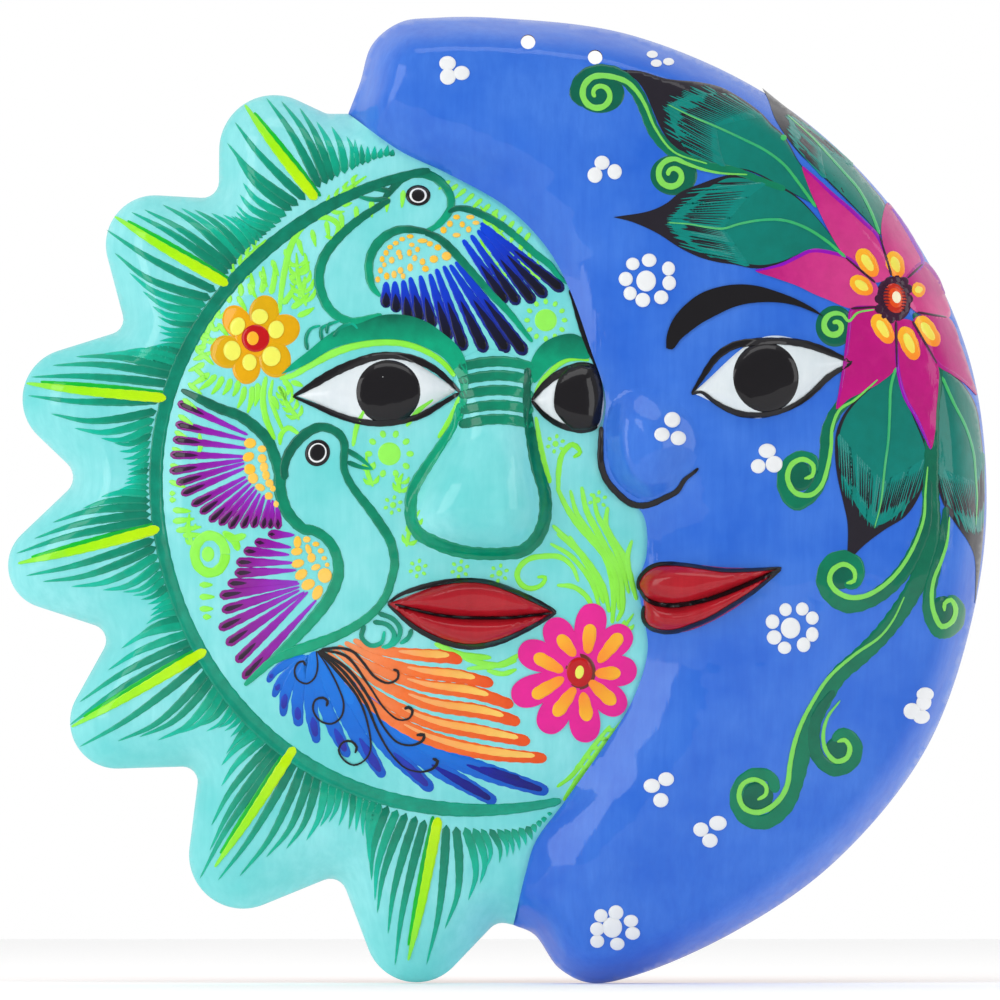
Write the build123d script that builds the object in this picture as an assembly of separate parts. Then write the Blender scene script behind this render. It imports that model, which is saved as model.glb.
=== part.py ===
from build123d import *
import math
import os

# Painted clay eclipse plaque: a sun face with seven ray lobes, half covered by a crescent moon face.
#
# Frame: +X to the viewer's right, +Z up as hung, the painted front faces -Y.
# The back rim lies in the plane Y = 0, and the origin is the middle of that back plane.
# Outlines are drawn in (x, z); a height is a distance from the back plane towards the viewer.
# All lengths are in millimetres.

# Driving dimensions
EDGE_HEIGHT = 7.0  # height of the rim's square edge, before the front rounds over
WALL = 8.0  # thickness of the pressed clay wall
HOLLOW_SUN_RADIUS = 112.0  # the hollow back stops at the roots of the solid ray lobes
HOLLOW_MOON_RADIUS = 137.0
HOLLOW_MOON_TURNS = (-80.0, 96.0)  # degrees from +X between which the hollow follows the moon's rim
SUN_RING_CENTRE = (-6.6, 3.0)
SUN_RING_RADIUS = 96.0  # ring between the face and the ray lobes
SUN_RING_HEIGHT = 23.0
SUN_FACE_RISE = 14.0  # the face's middle above its ring
RAY_TIP_DROP = 9.0  # fall of the ray lobes from the ring to their tips
RAY_LENGTH = 50.0
SUN_EDGE_ROUND = 4.0
MOON_RADIUS = 160.0  # plan radius of the ellipsoid that the crescent follows
MOON_BASE_HEIGHT = 8.0
MOON_RISE = 35.0
MOON_EDGE_ROUND = 8.0
MOON_PROFILE_TURN = 70.0  # degrees of the ellipsoid's quarter that the profile uses
SUN_NOSE_ROUND = 6.0
EYE_RISE = 3.2
EYE_ROUND = 2.5
LIP_RISE = 5.0
LIP_ROUND = 3.0
MOON_NOSE_RISE = 6.0
MOON_NOSE_ROUND = 3.5
HOLE_RADIUS = 2.2
HOLE_PLACES = {"left": (8.4, 137.2), "right": (28.5, 132.6)}
HOLE_PAD_RADIUS = 8.0  # solid clay kept around each hole
BLOCK_HEIGHT = 80.0  # height of the blocks that the shapes are cut from

# Ray lobes: the outline's corners and the radius that rounds each, from the moon's upper tip anticlockwise
RAY_CORNERS = [
    ((-52.0, 115.8), 4.0),
    ((-84.0, 130.7), 16.5),
    ((-84.3, 90.3), 5.0),
    ((-122.9, 92.5), 14.8),
    ((-112.0, 51.2), 4.5),
    ((-157.0, 37.0), 15.2),
    ((-125.5, 6.8), 5.6),
    ((-159.1, -25.2), 12.9),
    ((-115.9, -39.4), 4.8),
    ((-139.2, -81.3), 14.1),
    ((-90.0, -79.8), 4.5),
    ((-96.6, -131.8), 16.2),
    ((-48.0, -112.0), 5.0),
    ((-30.8, -157.5), 15.4),
    ((-0.9, -126.3), 5.0),
]
UPPER_JOIN = (-45.5, 115.8)  # where the border of sun and moon meets the outer edge
LOWER_JOIN = (4.0, -127.4)

# Border of sun and moon from the upper join down: forehead, nose, lips and chin of the moon's profile
BORDER = [
    UPPER_JOIN,
    (-30.0, 104.6),
    (-15.0, 97.4),
    (2.5, 87.3),
    (14.0, 75.5),
    (20.8, 63.0),
    (27.0, 45.5),
    (31.6, 30.0),
    (29.8, 14.0),
    (33.8, 3.0),
    (42.6, -4.0),
    (43.9, -16.0),
    (41.4, -25.0),
    (42.8, -34.0),
    (44.2, -45.0),
    (39.5, -60.3),
    (30.4, -74.7),
    (18.9, -90.9),
    (10.6, -102.4),
    (7.6, -112.0),
    LOWER_JOIN,
]

# Outer edge of the moon, from the lower join anticlockwise round to the upper one
MOON_TIP_LOWER = [LOWER_JOIN, (10.2, -130.2), (17.7, -140.4), (27.0, -144.8), (40.0, -142.7)]
MOON_ARC = [
    (40.0, -142.7),
    (70.0, -129.6),
    (100.0, -108.8),
    (127.5, -75.0),
    (141.9, -34.1),
    (145.9, 3.0),
    (140.0, 44.7),
    (120.0, 84.4),
    (84.9, 118.4),
    (40.0, 139.2),
    (0.0, 144.5),
    (-19.3, 144.6),
]
MOON_TIP_UPPER = [(-19.3, 144.6), (-30.0, 143.2), (-38.3, 136.6), (-42.0, 125.0), UPPER_JOIN]

# Relief outlines in (x, z): eyes by their left, top, right and bottom points
SUN_LEFT_EYE = [(-60.5, 31.1), (-34.0, 43.7), (-12.3, 33.0), (-34.0, 22.6)]
SUN_RIGHT_EYE = [(9.8, 30.0), (24.5, 41.0), (40.0, 31.0), (25.0, 20.5)]
MOON_EYE = [(57.5, 32.0), (80.0, 49.0), (104.8, 41.5), (78.0, 24.5)]
SUN_MOUTH = [(16.5, -33.5), (0.0, -35.3), (-15.0, -34.8), (-33.5, -31.0)]
SUN_LIP_TOP = [(-33.5, -31.0), (-20.0, -26.0), (-9.0, -23.8), (2.0, -25.5), (16.5, -33.5)]
SUN_LIP_BOTTOM = [(-33.5, -31.0), (-22.0, -39.5), (-8.0, -44.0), (4.0, -41.0), (16.5, -33.5)]
SUN_NOSE = [
    (-4.0, 45.0),
    (-13.0, 40.0),
    (-13.5, 22.0),
    (-22.0, 8.0),
    (-27.5, -4.0),
    (-24.0, -11.5),
    (-8.0, -16.5),
    (8.0, -15.0),
    (14.3, -5.0),
    (12.5, 10.0),
    (9.5, 24.0),
    (8.0, 40.0),
]
SUN_NOSE_RIDGE = [(-34.8, 46.0), (-43.0, 20.0), (-49.0, -5.0), (-44.0, -15.0), (-30.0, -20.0)]  # (y, z)
MOON_MOUTH = [(42.9, -29.3), (52.0, -31.8), (64.0, -28.8), (84.0, -20.3)]
MOON_LIP_TOP = [(84.0, -20.3), (68.0, -20.2), (52.0, -19.0), (44.3, -20.9), (41.4, -25.0), (42.9, -29.3)]
MOON_LIP_BOTTOM = [(84.0, -20.3), (70.0, -32.5), (54.0, -39.6), (44.2, -38.0), (42.9, -29.3)]
MOON_NOSE = [
    (33.6, 30.0),
    (31.6, 14.0),
    (35.2, 4.8),
    (44.0, -0.6),
    (52.0, 1.5),
    (59.0, 10.0),
    (60.0, 20.0),
    (54.0, 30.0),
    (43.0, 35.0),
]


def on_front(curve):
    """Place a curve drawn in (x, z) on the back plane, seen from the front."""
    return Plane.XZ * curve


def blank(face):
    """Solid block in front of the back plane with the outline of a face."""
    return Part() + Solid.extrude(face, Vector(0, -BLOCK_HEIGHT, 0))


def loop_face(*curves):
    """Face inside a closed loop of curves that are drawn in (x, z), with its normal towards the viewer."""
    face = Face(Wire((Curve() + [on_front(curve) for curve in curves]).edges()))
    return face if face.normal_at().Y < 0 else -face


# Outlines


def ray_edge():
    """The sun's free edge, from the upper join to the lower one."""
    corners = [UPPER_JOIN] + [corner for corner, _ in RAY_CORNERS] + [LOWER_JOIN]
    radii = [radius for _, radius in RAY_CORNERS]
    return on_front(FilletPolyline(*corners, radius=radii)).edges()


def moon_edge():
    """The moon's free edge, from the lower join to the upper one."""
    lower = Spline(*MOON_TIP_LOWER, tangents=[(1, -0.2), (1, 0.38)])
    arc = Spline(*MOON_ARC, tangents=[(1, 0.38), (-1, -0.01)])
    upper = Spline(*MOON_TIP_UPPER, tangents=[(-1, -0.01), (-0.55, -1)])
    return on_front(Curve() + [lower, arc, upper]).edges()


def border_edge():
    """The line where sun and moon meet, from the upper join to the lower one."""
    return on_front(Spline(*BORDER)).edges()


SUN_FACE = Face(Wire(ray_edge() + border_edge()))
MOON_FACE = Face(Wire(moon_edge() + border_edge()))


# Domes that the fronts follow, each turned about an axis through its middle


def turned(profile, reach, centre):
    """Solid turned about a Y axis from a profile of (radius, height), closed down to behind the back plane."""
    behind = -BLOCK_HEIGHT
    close = Polyline((reach, profile.position_at(1).Y), (reach, -behind), (0, -behind), profile.position_at(0))
    face = make_face(Curve() + [profile, close])
    return Pos(centre[0], 0, centre[1]) * revolve(face, Axis.Y)


def sun_dome():
    """The sun's gently domed face, with its lower flange of rays beyond the ring."""
    middle = SUN_RING_HEIGHT + SUN_FACE_RISE
    half_way = SUN_RING_HEIGHT + 0.75 * SUN_FACE_RISE
    reach = SUN_RING_RADIUS + 1.4 * RAY_LENGTH
    profile = Spline(
        (0, -middle),
        (SUN_RING_RADIUS / 2, -half_way),
        (SUN_RING_RADIUS, -SUN_RING_HEIGHT),
        (reach, 1.4 * RAY_TIP_DROP - SUN_RING_HEIGHT),
        tangents=[(1, 0), (RAY_LENGTH, RAY_TIP_DROP)],
    )
    return turned(profile, reach, SUN_RING_CENTRE)


def moon_dome():
    """The flattened ellipsoid that the crescent's front follows."""
    steps = [i * MOON_PROFILE_TURN / 6 for i in range(7)]
    points = [
        (MOON_RADIUS * math.sin(math.radians(a)), -MOON_BASE_HEIGHT - MOON_RISE * math.cos(math.radians(a)))
        for a in steps
    ]
    profile = Spline(*points)
    return turned(profile, points[-1][0], (0, 0))


# Shells


def front_edges(body):
    """The edges round a body's front."""
    return body.edges().filter_by(lambda edge: edge.bounding_box().max.Y < -EDGE_HEIGHT)


def sun_body():
    """The sun before its back is hollowed."""
    body = blank(SUN_FACE) & sun_dome()
    return fillet(front_edges(body), SUN_EDGE_ROUND)


def moon_body():
    """The crescent before its back is hollowed."""
    body = blank(MOON_FACE) & moon_dome()
    return fillet(front_edges(body), MOON_EDGE_ROUND)


def hollow_face():
    """Outline of the hollow back: a disc behind the sun's face, and a sector behind the crescent."""
    low, high = HOLLOW_MOON_TURNS
    arc = CenterArc((0, 0), HOLLOW_MOON_RADIUS, low, high - low)
    spokes = Polyline(arc @ 1, (0, 0), arc @ 0)
    sector = make_face(Curve() + [arc, spokes])
    return Plane.XZ * (Circle(HOLLOW_SUN_RADIUS) + sector)


def hollow(dome):
    """The space behind a dome-fronted shell, clear of the pads round the holes."""
    space = extrude(hollow_face(), amount=BLOCK_HEIGHT, both=True) & Pos(0, WALL, 0) * dome
    for place in HOLE_PLACES.values():
        space -= at_place(place) * Rot(90, 0, 0) * Cylinder(HOLE_PAD_RADIUS, 2 * BLOCK_HEIGHT)
    return space


def at_place(place):
    """Location of an (x, z) place on the back plane."""
    return Pos(place[0], 0, place[1])


def hanging_holes():
    """The two holes for a hanging wire."""
    drill = Rot(90, 0, 0) * Cylinder(HOLE_RADIUS, 2 * BLOCK_HEIGHT)
    return [at_place(place) * drill for place in HOLE_PLACES.values()]


# Laid-on relief


def almond(left, top, right, bottom):
    """Eye outline of two arcs through its four extreme points."""
    return loop_face(ThreePointArc(left, top, right), ThreePointArc(right, bottom, left))


def mound(face, dome, rise, rounding):
    """Raised piece with the outline of a face, its top parallel to a dome and its edge rounded."""
    body = blank(face) & Pos(0, -rise, 0) * dome
    return fillet(front_edges(body), rounding)


def sun_nose():
    """Wedge nose that climbs from between the brows to a broad round tip."""
    ridge = Spline(*SUN_NOSE_RIDGE)
    brow_z, base_z = SUN_NOSE_RIDGE[0][1], SUN_NOSE_RIDGE[-1][1]
    back = Polyline(SUN_NOSE_RIDGE[-1], (0, base_z), (0, brow_z), SUN_NOSE_RIDGE[0])
    wedge = extrude(Plane.YZ * make_face(Curve() + [ridge, back]), amount=BLOCK_HEIGHT, both=True)
    outline = loop_face(Spline(*SUN_NOSE, periodic=True))
    return fillet(front_edges(blank(outline) & wedge), SUN_NOSE_ROUND)


def sun_eyes():
    """Eye mounds of the sun; the moon's border cuts the right one."""
    left = mound(almond(*SUN_LEFT_EYE), sun_dome(), EYE_RISE, EYE_ROUND)
    right = mound(almond(*SUN_RIGHT_EYE), sun_dome(), EYE_RISE, EYE_ROUND)
    return left, right & blank(SUN_FACE)


def sun_lips():
    """Upper and lower lip of the sun, which meet along the mouth line."""
    mouth = Spline(*SUN_MOUTH)
    upper = loop_face(Spline(*SUN_LIP_TOP), mouth)
    lower = loop_face(Spline(*SUN_LIP_BOTTOM), mouth)
    return [mound(face, sun_dome(), LIP_RISE, LIP_ROUND) for face in (upper, lower)]


def moon_lips():
    """Upper and lower lip of the moon in profile, which meet along the mouth line."""
    mouth = Spline(*MOON_MOUTH, tangents=[(1, -0.6), (1, 0.45)])
    upper = loop_face(mouth, Spline(*MOON_LIP_TOP, tangents=[(-1, 0.05), (0.6, -1)]))
    lower = loop_face(mouth, Spline(*MOON_LIP_BOTTOM))
    return [mound(face, moon_dome(), LIP_RISE, LIP_ROUND) for face in (upper, lower)]


def moon_eye():
    """Eye mound of the moon."""
    return mound(almond(*MOON_EYE), moon_dome(), EYE_RISE, EYE_ROUND)


def moon_nose():
    """Round nose of the moon in profile."""
    outline = loop_face(Spline(*MOON_NOSE, periodic=True))
    return mound(outline, moon_dome(), MOON_NOSE_RISE, MOON_NOSE_ROUND)


def build():
    """All the pieces of the plaque by name."""
    sun, moon = sun_body(), moon_body()
    left_eye, right_eye = sun_eyes()
    upper_lip, lower_lip = sun_lips()
    moon_upper_lip, moon_lower_lip = moon_lips()
    on_sun = {
        "sun_nose": sun_nose(),
        "sun_left_eye": left_eye,
        "sun_right_eye": right_eye,
        "sun_upper_lip": upper_lip,
        "sun_lower_lip": lower_lip,
    }
    on_moon = {
        "moon_nose": moon_nose(),
        "moon_eye": moon_eye(),
        "moon_upper_lip": moon_upper_lip & blank(MOON_FACE),
        "moon_lower_lip": moon_lower_lip & blank(MOON_FACE),
    }
    pieces = {name: piece - sun for name, piece in on_sun.items()}
    pieces |= {name: piece - moon for name, piece in on_moon.items()}
    pieces["sun_shell"] = sun - hollow(sun_dome())
    pieces["moon_shell"] = moon - hollow(moon_dome()) - hanging_holes()
    return pieces


os.makedirs("parts", exist_ok=True)
for name, piece in build().items():
    export_step(piece, f"parts/{name}.step")
    print(name, len(piece.solids()), round(piece.volume))
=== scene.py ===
"""Looks of the painted clay eclipse plaque: clay shells, laid-on relief, painted motifs and materials.

Drawing is done in millimetres in (x, z), as seen from the front. A height is a distance from the back
plane towards the viewer, so a point lies at Y = -height. Every length is divided by 1000 on its way to
a mesh.
"""
import math
import random

import bpy
import numpy as np
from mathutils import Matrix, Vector
from mathutils.geometry import delaunay_2d_cdt


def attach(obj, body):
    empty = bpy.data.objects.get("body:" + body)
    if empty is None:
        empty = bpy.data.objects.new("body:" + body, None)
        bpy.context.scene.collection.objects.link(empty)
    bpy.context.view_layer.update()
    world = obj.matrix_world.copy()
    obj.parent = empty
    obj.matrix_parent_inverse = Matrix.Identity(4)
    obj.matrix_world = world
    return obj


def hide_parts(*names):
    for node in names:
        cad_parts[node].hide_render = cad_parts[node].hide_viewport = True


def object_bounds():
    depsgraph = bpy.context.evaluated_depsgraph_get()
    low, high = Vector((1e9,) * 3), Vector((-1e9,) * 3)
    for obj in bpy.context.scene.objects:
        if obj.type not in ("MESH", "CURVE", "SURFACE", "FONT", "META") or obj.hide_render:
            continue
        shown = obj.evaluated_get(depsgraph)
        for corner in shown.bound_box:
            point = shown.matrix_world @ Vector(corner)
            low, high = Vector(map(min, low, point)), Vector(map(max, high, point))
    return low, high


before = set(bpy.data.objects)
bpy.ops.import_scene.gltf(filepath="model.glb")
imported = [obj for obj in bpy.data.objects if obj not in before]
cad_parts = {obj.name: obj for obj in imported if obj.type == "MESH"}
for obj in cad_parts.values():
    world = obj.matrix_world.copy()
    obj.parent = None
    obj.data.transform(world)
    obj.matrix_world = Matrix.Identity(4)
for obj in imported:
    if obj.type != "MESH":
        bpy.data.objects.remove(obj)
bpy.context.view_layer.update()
random.seed(11)

# Sizes of the clay and of the paint, in millimetres
EDGE_HEIGHT = 7.0
WALL = 8.0
RING_CENTRE = (-6.6, 3.0)
RING_RADIUS = 96.0
RING_HEIGHT = 23.0
FACE_RISE = 14.0
RAY_TIP_DROP = 9.0
RAY_LENGTH = 50.0
RING_GROOVE = 1.3
RING_GROOVE_WIDTH = 4.5
SUN_EDGE_ROUND = 13.0
MOON_RADIUS = 160.0
MOON_BASE = 8.0
MOON_RISE = 35.0
MOON_EDGE_ROUND = 11.0
MOON_BEVEL = 26.0
MOON_LIP = 1.2
HOLLOW_SUN_RADIUS = 112.0
HOLLOW_MOON_RADIUS = 137.0
HOLLOW_MOON_TURNS = (-80.0, 96.0)
HOLLOW_SLOPE = 4.0
HOLES = [(8.4, 137.2), (28.5, 132.6)]
HOLE_RADIUS = 2.2
HOLE_PAD = 8.0
FILM = 0.12  # thickness of one layer of paint
LAYER = 0.05  # how much each further layer stands above the one under it
BURIED = 0.15  # how far a film's underside sinks into what it lies on
MARK_STEP = 0.005  # difference in height between marks of one coat
MARK_LEVELS = 8  # how many heights the marks of one coat take in turn
COLUMN_WIDTH = 1.6  # widest strip of a brush stroke
SAMPLED_COUNT = 60  # a line of this many points or more is taken as sampled already
SHELL_SPACING = 1.5  # size of the triangles of the two shells
PATCH_SPACING = 1.1  # size of the triangles of a painted area
ROW_HEIGHT = 0.87  # height of a row of triangles, in spacings
JITTER = 0.1  # how far the inner points are moved at random, in spacings
CLEARANCE = 0.45  # how far the inner points stay from the borders, in spacings
GRID_STEP = 0.8  # spacing of the height maps
FAR = 500.0  # a place beyond everything, for borders that are open to one side

RAY_CORNERS = [
    ((-52.0, 115.8), 4.0), ((-84.0, 130.7), 16.5), ((-84.3, 90.3), 5.0), ((-122.9, 92.5), 14.8),
    ((-112.0, 51.2), 4.5), ((-157.0, 37.0), 15.2), ((-125.5, 6.8), 5.6), ((-159.1, -25.2), 12.9),
    ((-115.9, -39.4), 4.8), ((-139.2, -81.3), 14.1), ((-90.0, -79.8), 4.5), ((-96.6, -131.8), 16.2),
    ((-48.0, -112.0), 5.0), ((-30.8, -157.5), 15.4), ((-0.9, -126.3), 5.0),
]
UPPER_JOIN = (-45.5, 115.8)
LOWER_JOIN = (4.0, -127.4)
BORDER = [
    UPPER_JOIN,
    (-30, 104.6),
    (-15, 97.4),
    (2.5, 87.3),
    (14, 75.5),
    (20.8, 63),
    (27, 45.5),
    (31.6, 30),
    (29.8, 14),
    (33.8, 3),
    (42.6, -4),
    (43.9, -16),
    (41.4, -25),
    (42.8, -34),
    (44.2, -45),
    (39.5, -60.3),
    (30.4, -74.7),
    (18.9, -90.9),
    (10.6, -102.4),
    (7.6, -112),
    LOWER_JOIN,
]
MOON_OUTER = [
    LOWER_JOIN,
    (10.2, -130.2),
    (17.7, -140.4),
    (27, -144.8),
    (40, -142.7),
    (70, -129.6),
    (100, -108.8),
    (127.5, -75),
    (141.9, -34.1),
    (145.9, 3),
    (140, 44.7),
    (120, 84.4),
    (84.9, 118.4),
    (40, 139.2),
    (0, 144.5),
    (-19.3, 144.6),
    (-30, 143.2),
    (-38.3, 136.6),
    (-42, 125),
    UPPER_JOIN,
]


# Curves in (x, z)


def mixed(t, low, high, first, second):
    """Mix that goes from the first value to the second as t goes from low to high."""
    return (high - t) / (high - low) * first + (t - low) / (high - low) * second


def spline(points, closed=False, step=1.0):
    """Smooth curve through the points, sampled about a step apart."""
    given = np.array(points, float)
    if len(given) == 2 and not closed:
        count = max(2, int(np.hypot(*(given[1] - given[0])) / step) + 1)
        return given[0] + (given[1] - given[0]) * np.linspace(0, 1, count)[:, None]
    if closed:
        ring = np.vstack([given[-1], given, given[0], given[1]])
    else:
        ring = np.vstack([2 * given[0] - given[1], given, 2 * given[-1] - given[-2]])
    sampled = []
    for p0, p1, p2, p3 in zip(ring[:-3], ring[1:-2], ring[2:-1], ring[3:]):
        gaps = [max(np.hypot(*(b - a)), 1e-6) ** 0.5 for a, b in ((p0, p1), (p1, p2), (p2, p3))]
        k0, k1, k2, k3 = np.cumsum([0.0] + gaps)
        count = max(2, int(round(np.hypot(*(p2 - p1)) / step)))
        t = np.linspace(k1, k2, count, endpoint=False)[:, None]
        a1 = mixed(t, k0, k1, p0, p1)
        a2 = mixed(t, k1, k2, p1, p2)
        a3 = mixed(t, k2, k3, p2, p3)
        b1 = mixed(t, k0, k2, a1, a2)
        b2 = mixed(t, k1, k3, a2, a3)
        sampled.append(mixed(t, k1, k2, b1, b2))
    if not closed:
        sampled.append(given[-1:])
    return np.vstack(sampled)


def filleted(start, corners, end, step=1.2):
    """Open polyline whose corners are rounded by their own radii."""
    places = [np.array(start, float)] + [
        np.array(c, float)
        for c, _ in corners
    ] + [np.array(end, float)]
    path = [places[0]]
    for before, corner, after, (_, radius) in zip(places, places[1:], places[2:], corners):
        u = (before - corner) / np.hypot(*(before - corner))
        v = (after - corner) / np.hypot(*(after - corner))
        half = math.acos(np.clip(u @ v, -1, 1)) / 2
        reach = radius / math.tan(half)
        middle = (u + v) / np.hypot(*(u + v))
        centre = corner + middle * radius / math.sin(half)
        first, last = corner + u * reach - centre, corner + v * reach - centre
        turn = math.atan2(first[0] * last[1] - first[1] * last[0], first @ last)
        count = max(3, int(abs(turn) * radius / step))
        line = np.hypot(*(centre + first - path[-1]))
        along = np.linspace(0, 1, max(2, int(line / step)), endpoint=False)[1:, None]
        path += list(path[-1] + (centre + first - path[-1]) * along)
        for i in range(count + 1):
            angle = turn * i / count
            c, s = math.cos(angle), math.sin(angle)
            path.append(centre + np.array([first[0] * c - first[1] * s, first[0] * s + first[1] * c]))
    path += list(path[-1] + (places[-1] - path[-1]) * np.linspace(0, 1, 4)[1:, None])
    return np.array(path)


def distance_to(curve, x, z):
    """Distance from points to a sampled curve."""
    nearest = np.full(x.shape, np.inf)
    for (ax, az), (sx, sz) in zip(curve[:-1], np.diff(curve, axis=0)):
        length_squared = sx * sx + sz * sz
        if length_squared == 0:
            continue
        along = np.clip(((x - ax) * sx + (z - az) * sz) / length_squared, 0, 1)
        np.minimum(nearest, (x - ax - along * sx) ** 2 + (z - az - along * sz) ** 2, out=nearest)
    return np.sqrt(nearest)


def inside_loop(loop, x, z):
    """True for the points inside a sampled closed loop."""
    inside = np.zeros(x.shape, bool)
    for (ax, az), (bx, bz) in zip(loop, np.roll(loop, -1, axis=0)):
        if az != bz:
            inside ^= ((az > z) != (bz > z)) & (x < (bx - ax) * (z - az) / (bz - az) + ax)
    return inside


def depth_inside(loop, x, z):
    """Distance in from a closed loop, negative outside it."""
    distance = distance_to(np.vstack([loop, loop[:1]]), x, z)
    return np.where(inside_loop(loop, x, z), distance, -distance)


def round_over(ratio, power=2.2):
    """Share of the full height at a share of the way in from an edge; it goes on falling outside."""
    inside = 1 - (1 - np.clip(ratio, 0, 1)) ** power
    outside = -0.8 * (1 - np.exp(np.minimum(ratio, 0) * power / 0.8))
    return np.where(ratio > 0, inside, outside)


def rise_between(low, high, value):
    """Smooth step from 0 at low to 1 at high."""
    share = np.clip((value - low) / (high - low), 0, 1)
    return share * share * (3 - 2 * share)


SUN_EDGE = filleted(UPPER_JOIN, RAY_CORNERS, LOWER_JOIN)
MOON_EDGE = spline(MOON_OUTER, step=1.2)
BORDER_LINE = spline(BORDER, step=1.2)
SUN_LOOP = np.vstack([SUN_EDGE, BORDER_LINE[::-1][1:-1]])
MOON_LOOP = np.vstack([MOON_EDGE, BORDER_LINE[1:-1]])


# Heights of the clay


def sun_base(x, z):
    """The sun without its laid-on pieces: domed face, ring groove and puffed rays."""
    radius = np.hypot(x - RING_CENTRE[0], z - RING_CENTRE[1])
    share = np.minimum(radius / RING_RADIUS, 1)
    beyond = np.maximum(radius - RING_RADIUS, 0)
    full = RING_HEIGHT + FACE_RISE * (1 - share**2) - RAY_TIP_DROP * beyond / RAY_LENGTH
    full = full - RING_GROOVE * np.exp(-(((radius - RING_RADIUS) / RING_GROOVE_WIDTH) ** 2))
    outside = [(LOWER_JOIN[0], -FAR), (FAR, -FAR), (FAR, FAR), (UPPER_JOIN[0], FAR)]
    loop = np.vstack([SUN_EDGE, outside])
    return EDGE_HEIGHT + (full - EDGE_HEIGHT) * round_over(depth_inside(loop, x, z) / SUN_EDGE_ROUND)


def moon_base(x, z):
    """The moon without its laid-on pieces: a crescent that rolls down to the sun along the border."""
    reach = np.minimum(np.hypot(x, z) / MOON_RADIUS, 0.99)
    crown = MOON_BASE + MOON_RISE * np.sqrt(1 - reach**2)
    outer = np.vstack([MOON_EDGE, [(-FAR, UPPER_JOIN[1]), (-FAR, LOWER_JOIN[1])]])
    inner = np.vstack(
        [BORDER_LINE, [(LOWER_JOIN[0], -FAR), (FAR, -FAR), (FAR, FAR), (UPPER_JOIN[0], FAR)]]
    )
    sun = sun_base(x, z) + MOON_LIP
    rolled = sun + np.maximum(crown - sun, 1) * round_over(depth_inside(inner, x, z) / MOON_BEVEL, 2.0)
    return EDGE_HEIGHT + (rolled - EDGE_HEIGHT) * round_over(
        depth_inside(outer, x, z) / MOON_EDGE_ROUND
    )


class Ground:
    """Heights of a clay front on a grid, read by smooth interpolation."""

    def __init__(self, base, low, high):
        self.low = np.array(low, float)
        self.shape = [int((h - l) / GRID_STEP) + 2 for l, h in zip(low, high)]
        x = self.low[0] + GRID_STEP * np.arange(self.shape[0])
        z = self.low[1] + GRID_STEP * np.arange(self.shape[1])
        self.x, self.z = np.meshgrid(x, z, indexing="ij")
        self.base = base(self.x, self.z)
        self.top = self.base.copy()

    def add(self, rise):
        """Lay a piece on the clay: its rise is 0 or less outside its outline."""
        self.top = np.maximum(self.top, self.base + rise)

    def read(self, grid, points):
        places = (np.asarray(points, float) - self.low) / GRID_STEP
        i = np.clip(places[:, 0].astype(int), 0, self.shape[0] - 2)
        j = np.clip(places[:, 1].astype(int), 0, self.shape[1] - 2)
        u, v = places[:, 0] - i, places[:, 1] - j
        low = grid[i, j] * (1 - u) + grid[i + 1, j] * u
        high = grid[i, j + 1] * (1 - u) + grid[i + 1, j + 1] * u
        return low * (1 - v) + high * v


SUN = Ground(sun_base, (-152, -150), (52, 128))
MOON = Ground(moon_base, (-52, -150), (150, 150))


# Meshes


def filled(loop, spacing, holes=()):
    """Points and triangles that fill a closed loop, with inner points about a spacing apart."""
    points, edges = [], []
    for border in [loop] + list(holes):
        start = len(points)
        points += [tuple(p) for p in border]
        edges += [(start + i, start + (i + 1) % len(border)) for i in range(len(border))]
    low, high = np.min(points, axis=0), np.max(points, axis=0)
    rows = int((high[1] - low[1]) / (spacing * ROW_HEIGHT)) + 1
    inner = []
    for row in range(rows):
        z = low[1] + row * spacing * ROW_HEIGHT
        for x in np.arange(low[0] + (row % 2) * spacing / 2, high[0], spacing):
            moved_x = x + random.uniform(-JITTER, JITTER) * spacing
            moved_z = z + random.uniform(-JITTER, JITTER) * spacing
            inner.append((moved_x, moved_z))
    if inner:
        inner = np.array(inner)
        keep = depth_inside(loop, inner[:, 0], inner[:, 1]) > CLEARANCE * spacing
        for hole in holes:
            keep &= depth_inside(hole, inner[:, 0], inner[:, 1]) < -CLEARANCE * spacing
        points += [tuple(p) for p in inner[keep]]
    out = delaunay_2d_cdt([Vector(p) for p in points], edges, [], 0, 1e-6)
    flat, faces = np.array([tuple(v) for v in out[0]]), np.array([tuple(f) for f in out[2]])
    middles = flat[faces].mean(1)
    keep = inside_loop(loop, middles[:, 0], middles[:, 1])
    for hole in holes:
        keep &= ~inside_loop(hole, middles[:, 0], middles[:, 1])
    faces = faces[keep]
    a, b, c = flat[faces[:, 0]], flat[faces[:, 1]], flat[faces[:, 2]]
    turn = (b[:, 0] - a[:, 0]) * (c[:, 1] - a[:, 1]) - (b[:, 1] - a[:, 1]) * (c[:, 0] - a[:, 0])
    faces[turn < 0] = faces[turn < 0][:, ::-1]
    used, faces = np.unique(faces, return_inverse=True)  # drop the points of no triangle
    return flat[used], faces.reshape(-1, 3)


def thick(flat, faces, front, back):
    """Closed body between two heights over a flat fill. Returns 3-D points and faces; fronts come first."""
    count = len(flat)
    verts = np.vstack(
        [
            np.column_stack([flat[:, 0], -front, flat[:, 1]]),
            np.column_stack([flat[:, 0], -back, flat[:, 1]]),
        ]
    )
    sides = {}
    for face in faces:
        for i in range(len(face)):
            edge = (face[i], face[(i + 1) % len(face)])
            if (edge[1], edge[0]) in sides:
                del sides[(edge[1], edge[0])]
            else:
                sides[edge] = True
    walls = [(a + count, b + count, b, a) for a, b in sides]
    fronts = [tuple(f) for f in faces]
    backs = [tuple(i + count for i in f[::-1]) for f in fronts]
    return verts, fronts, backs, walls


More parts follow.
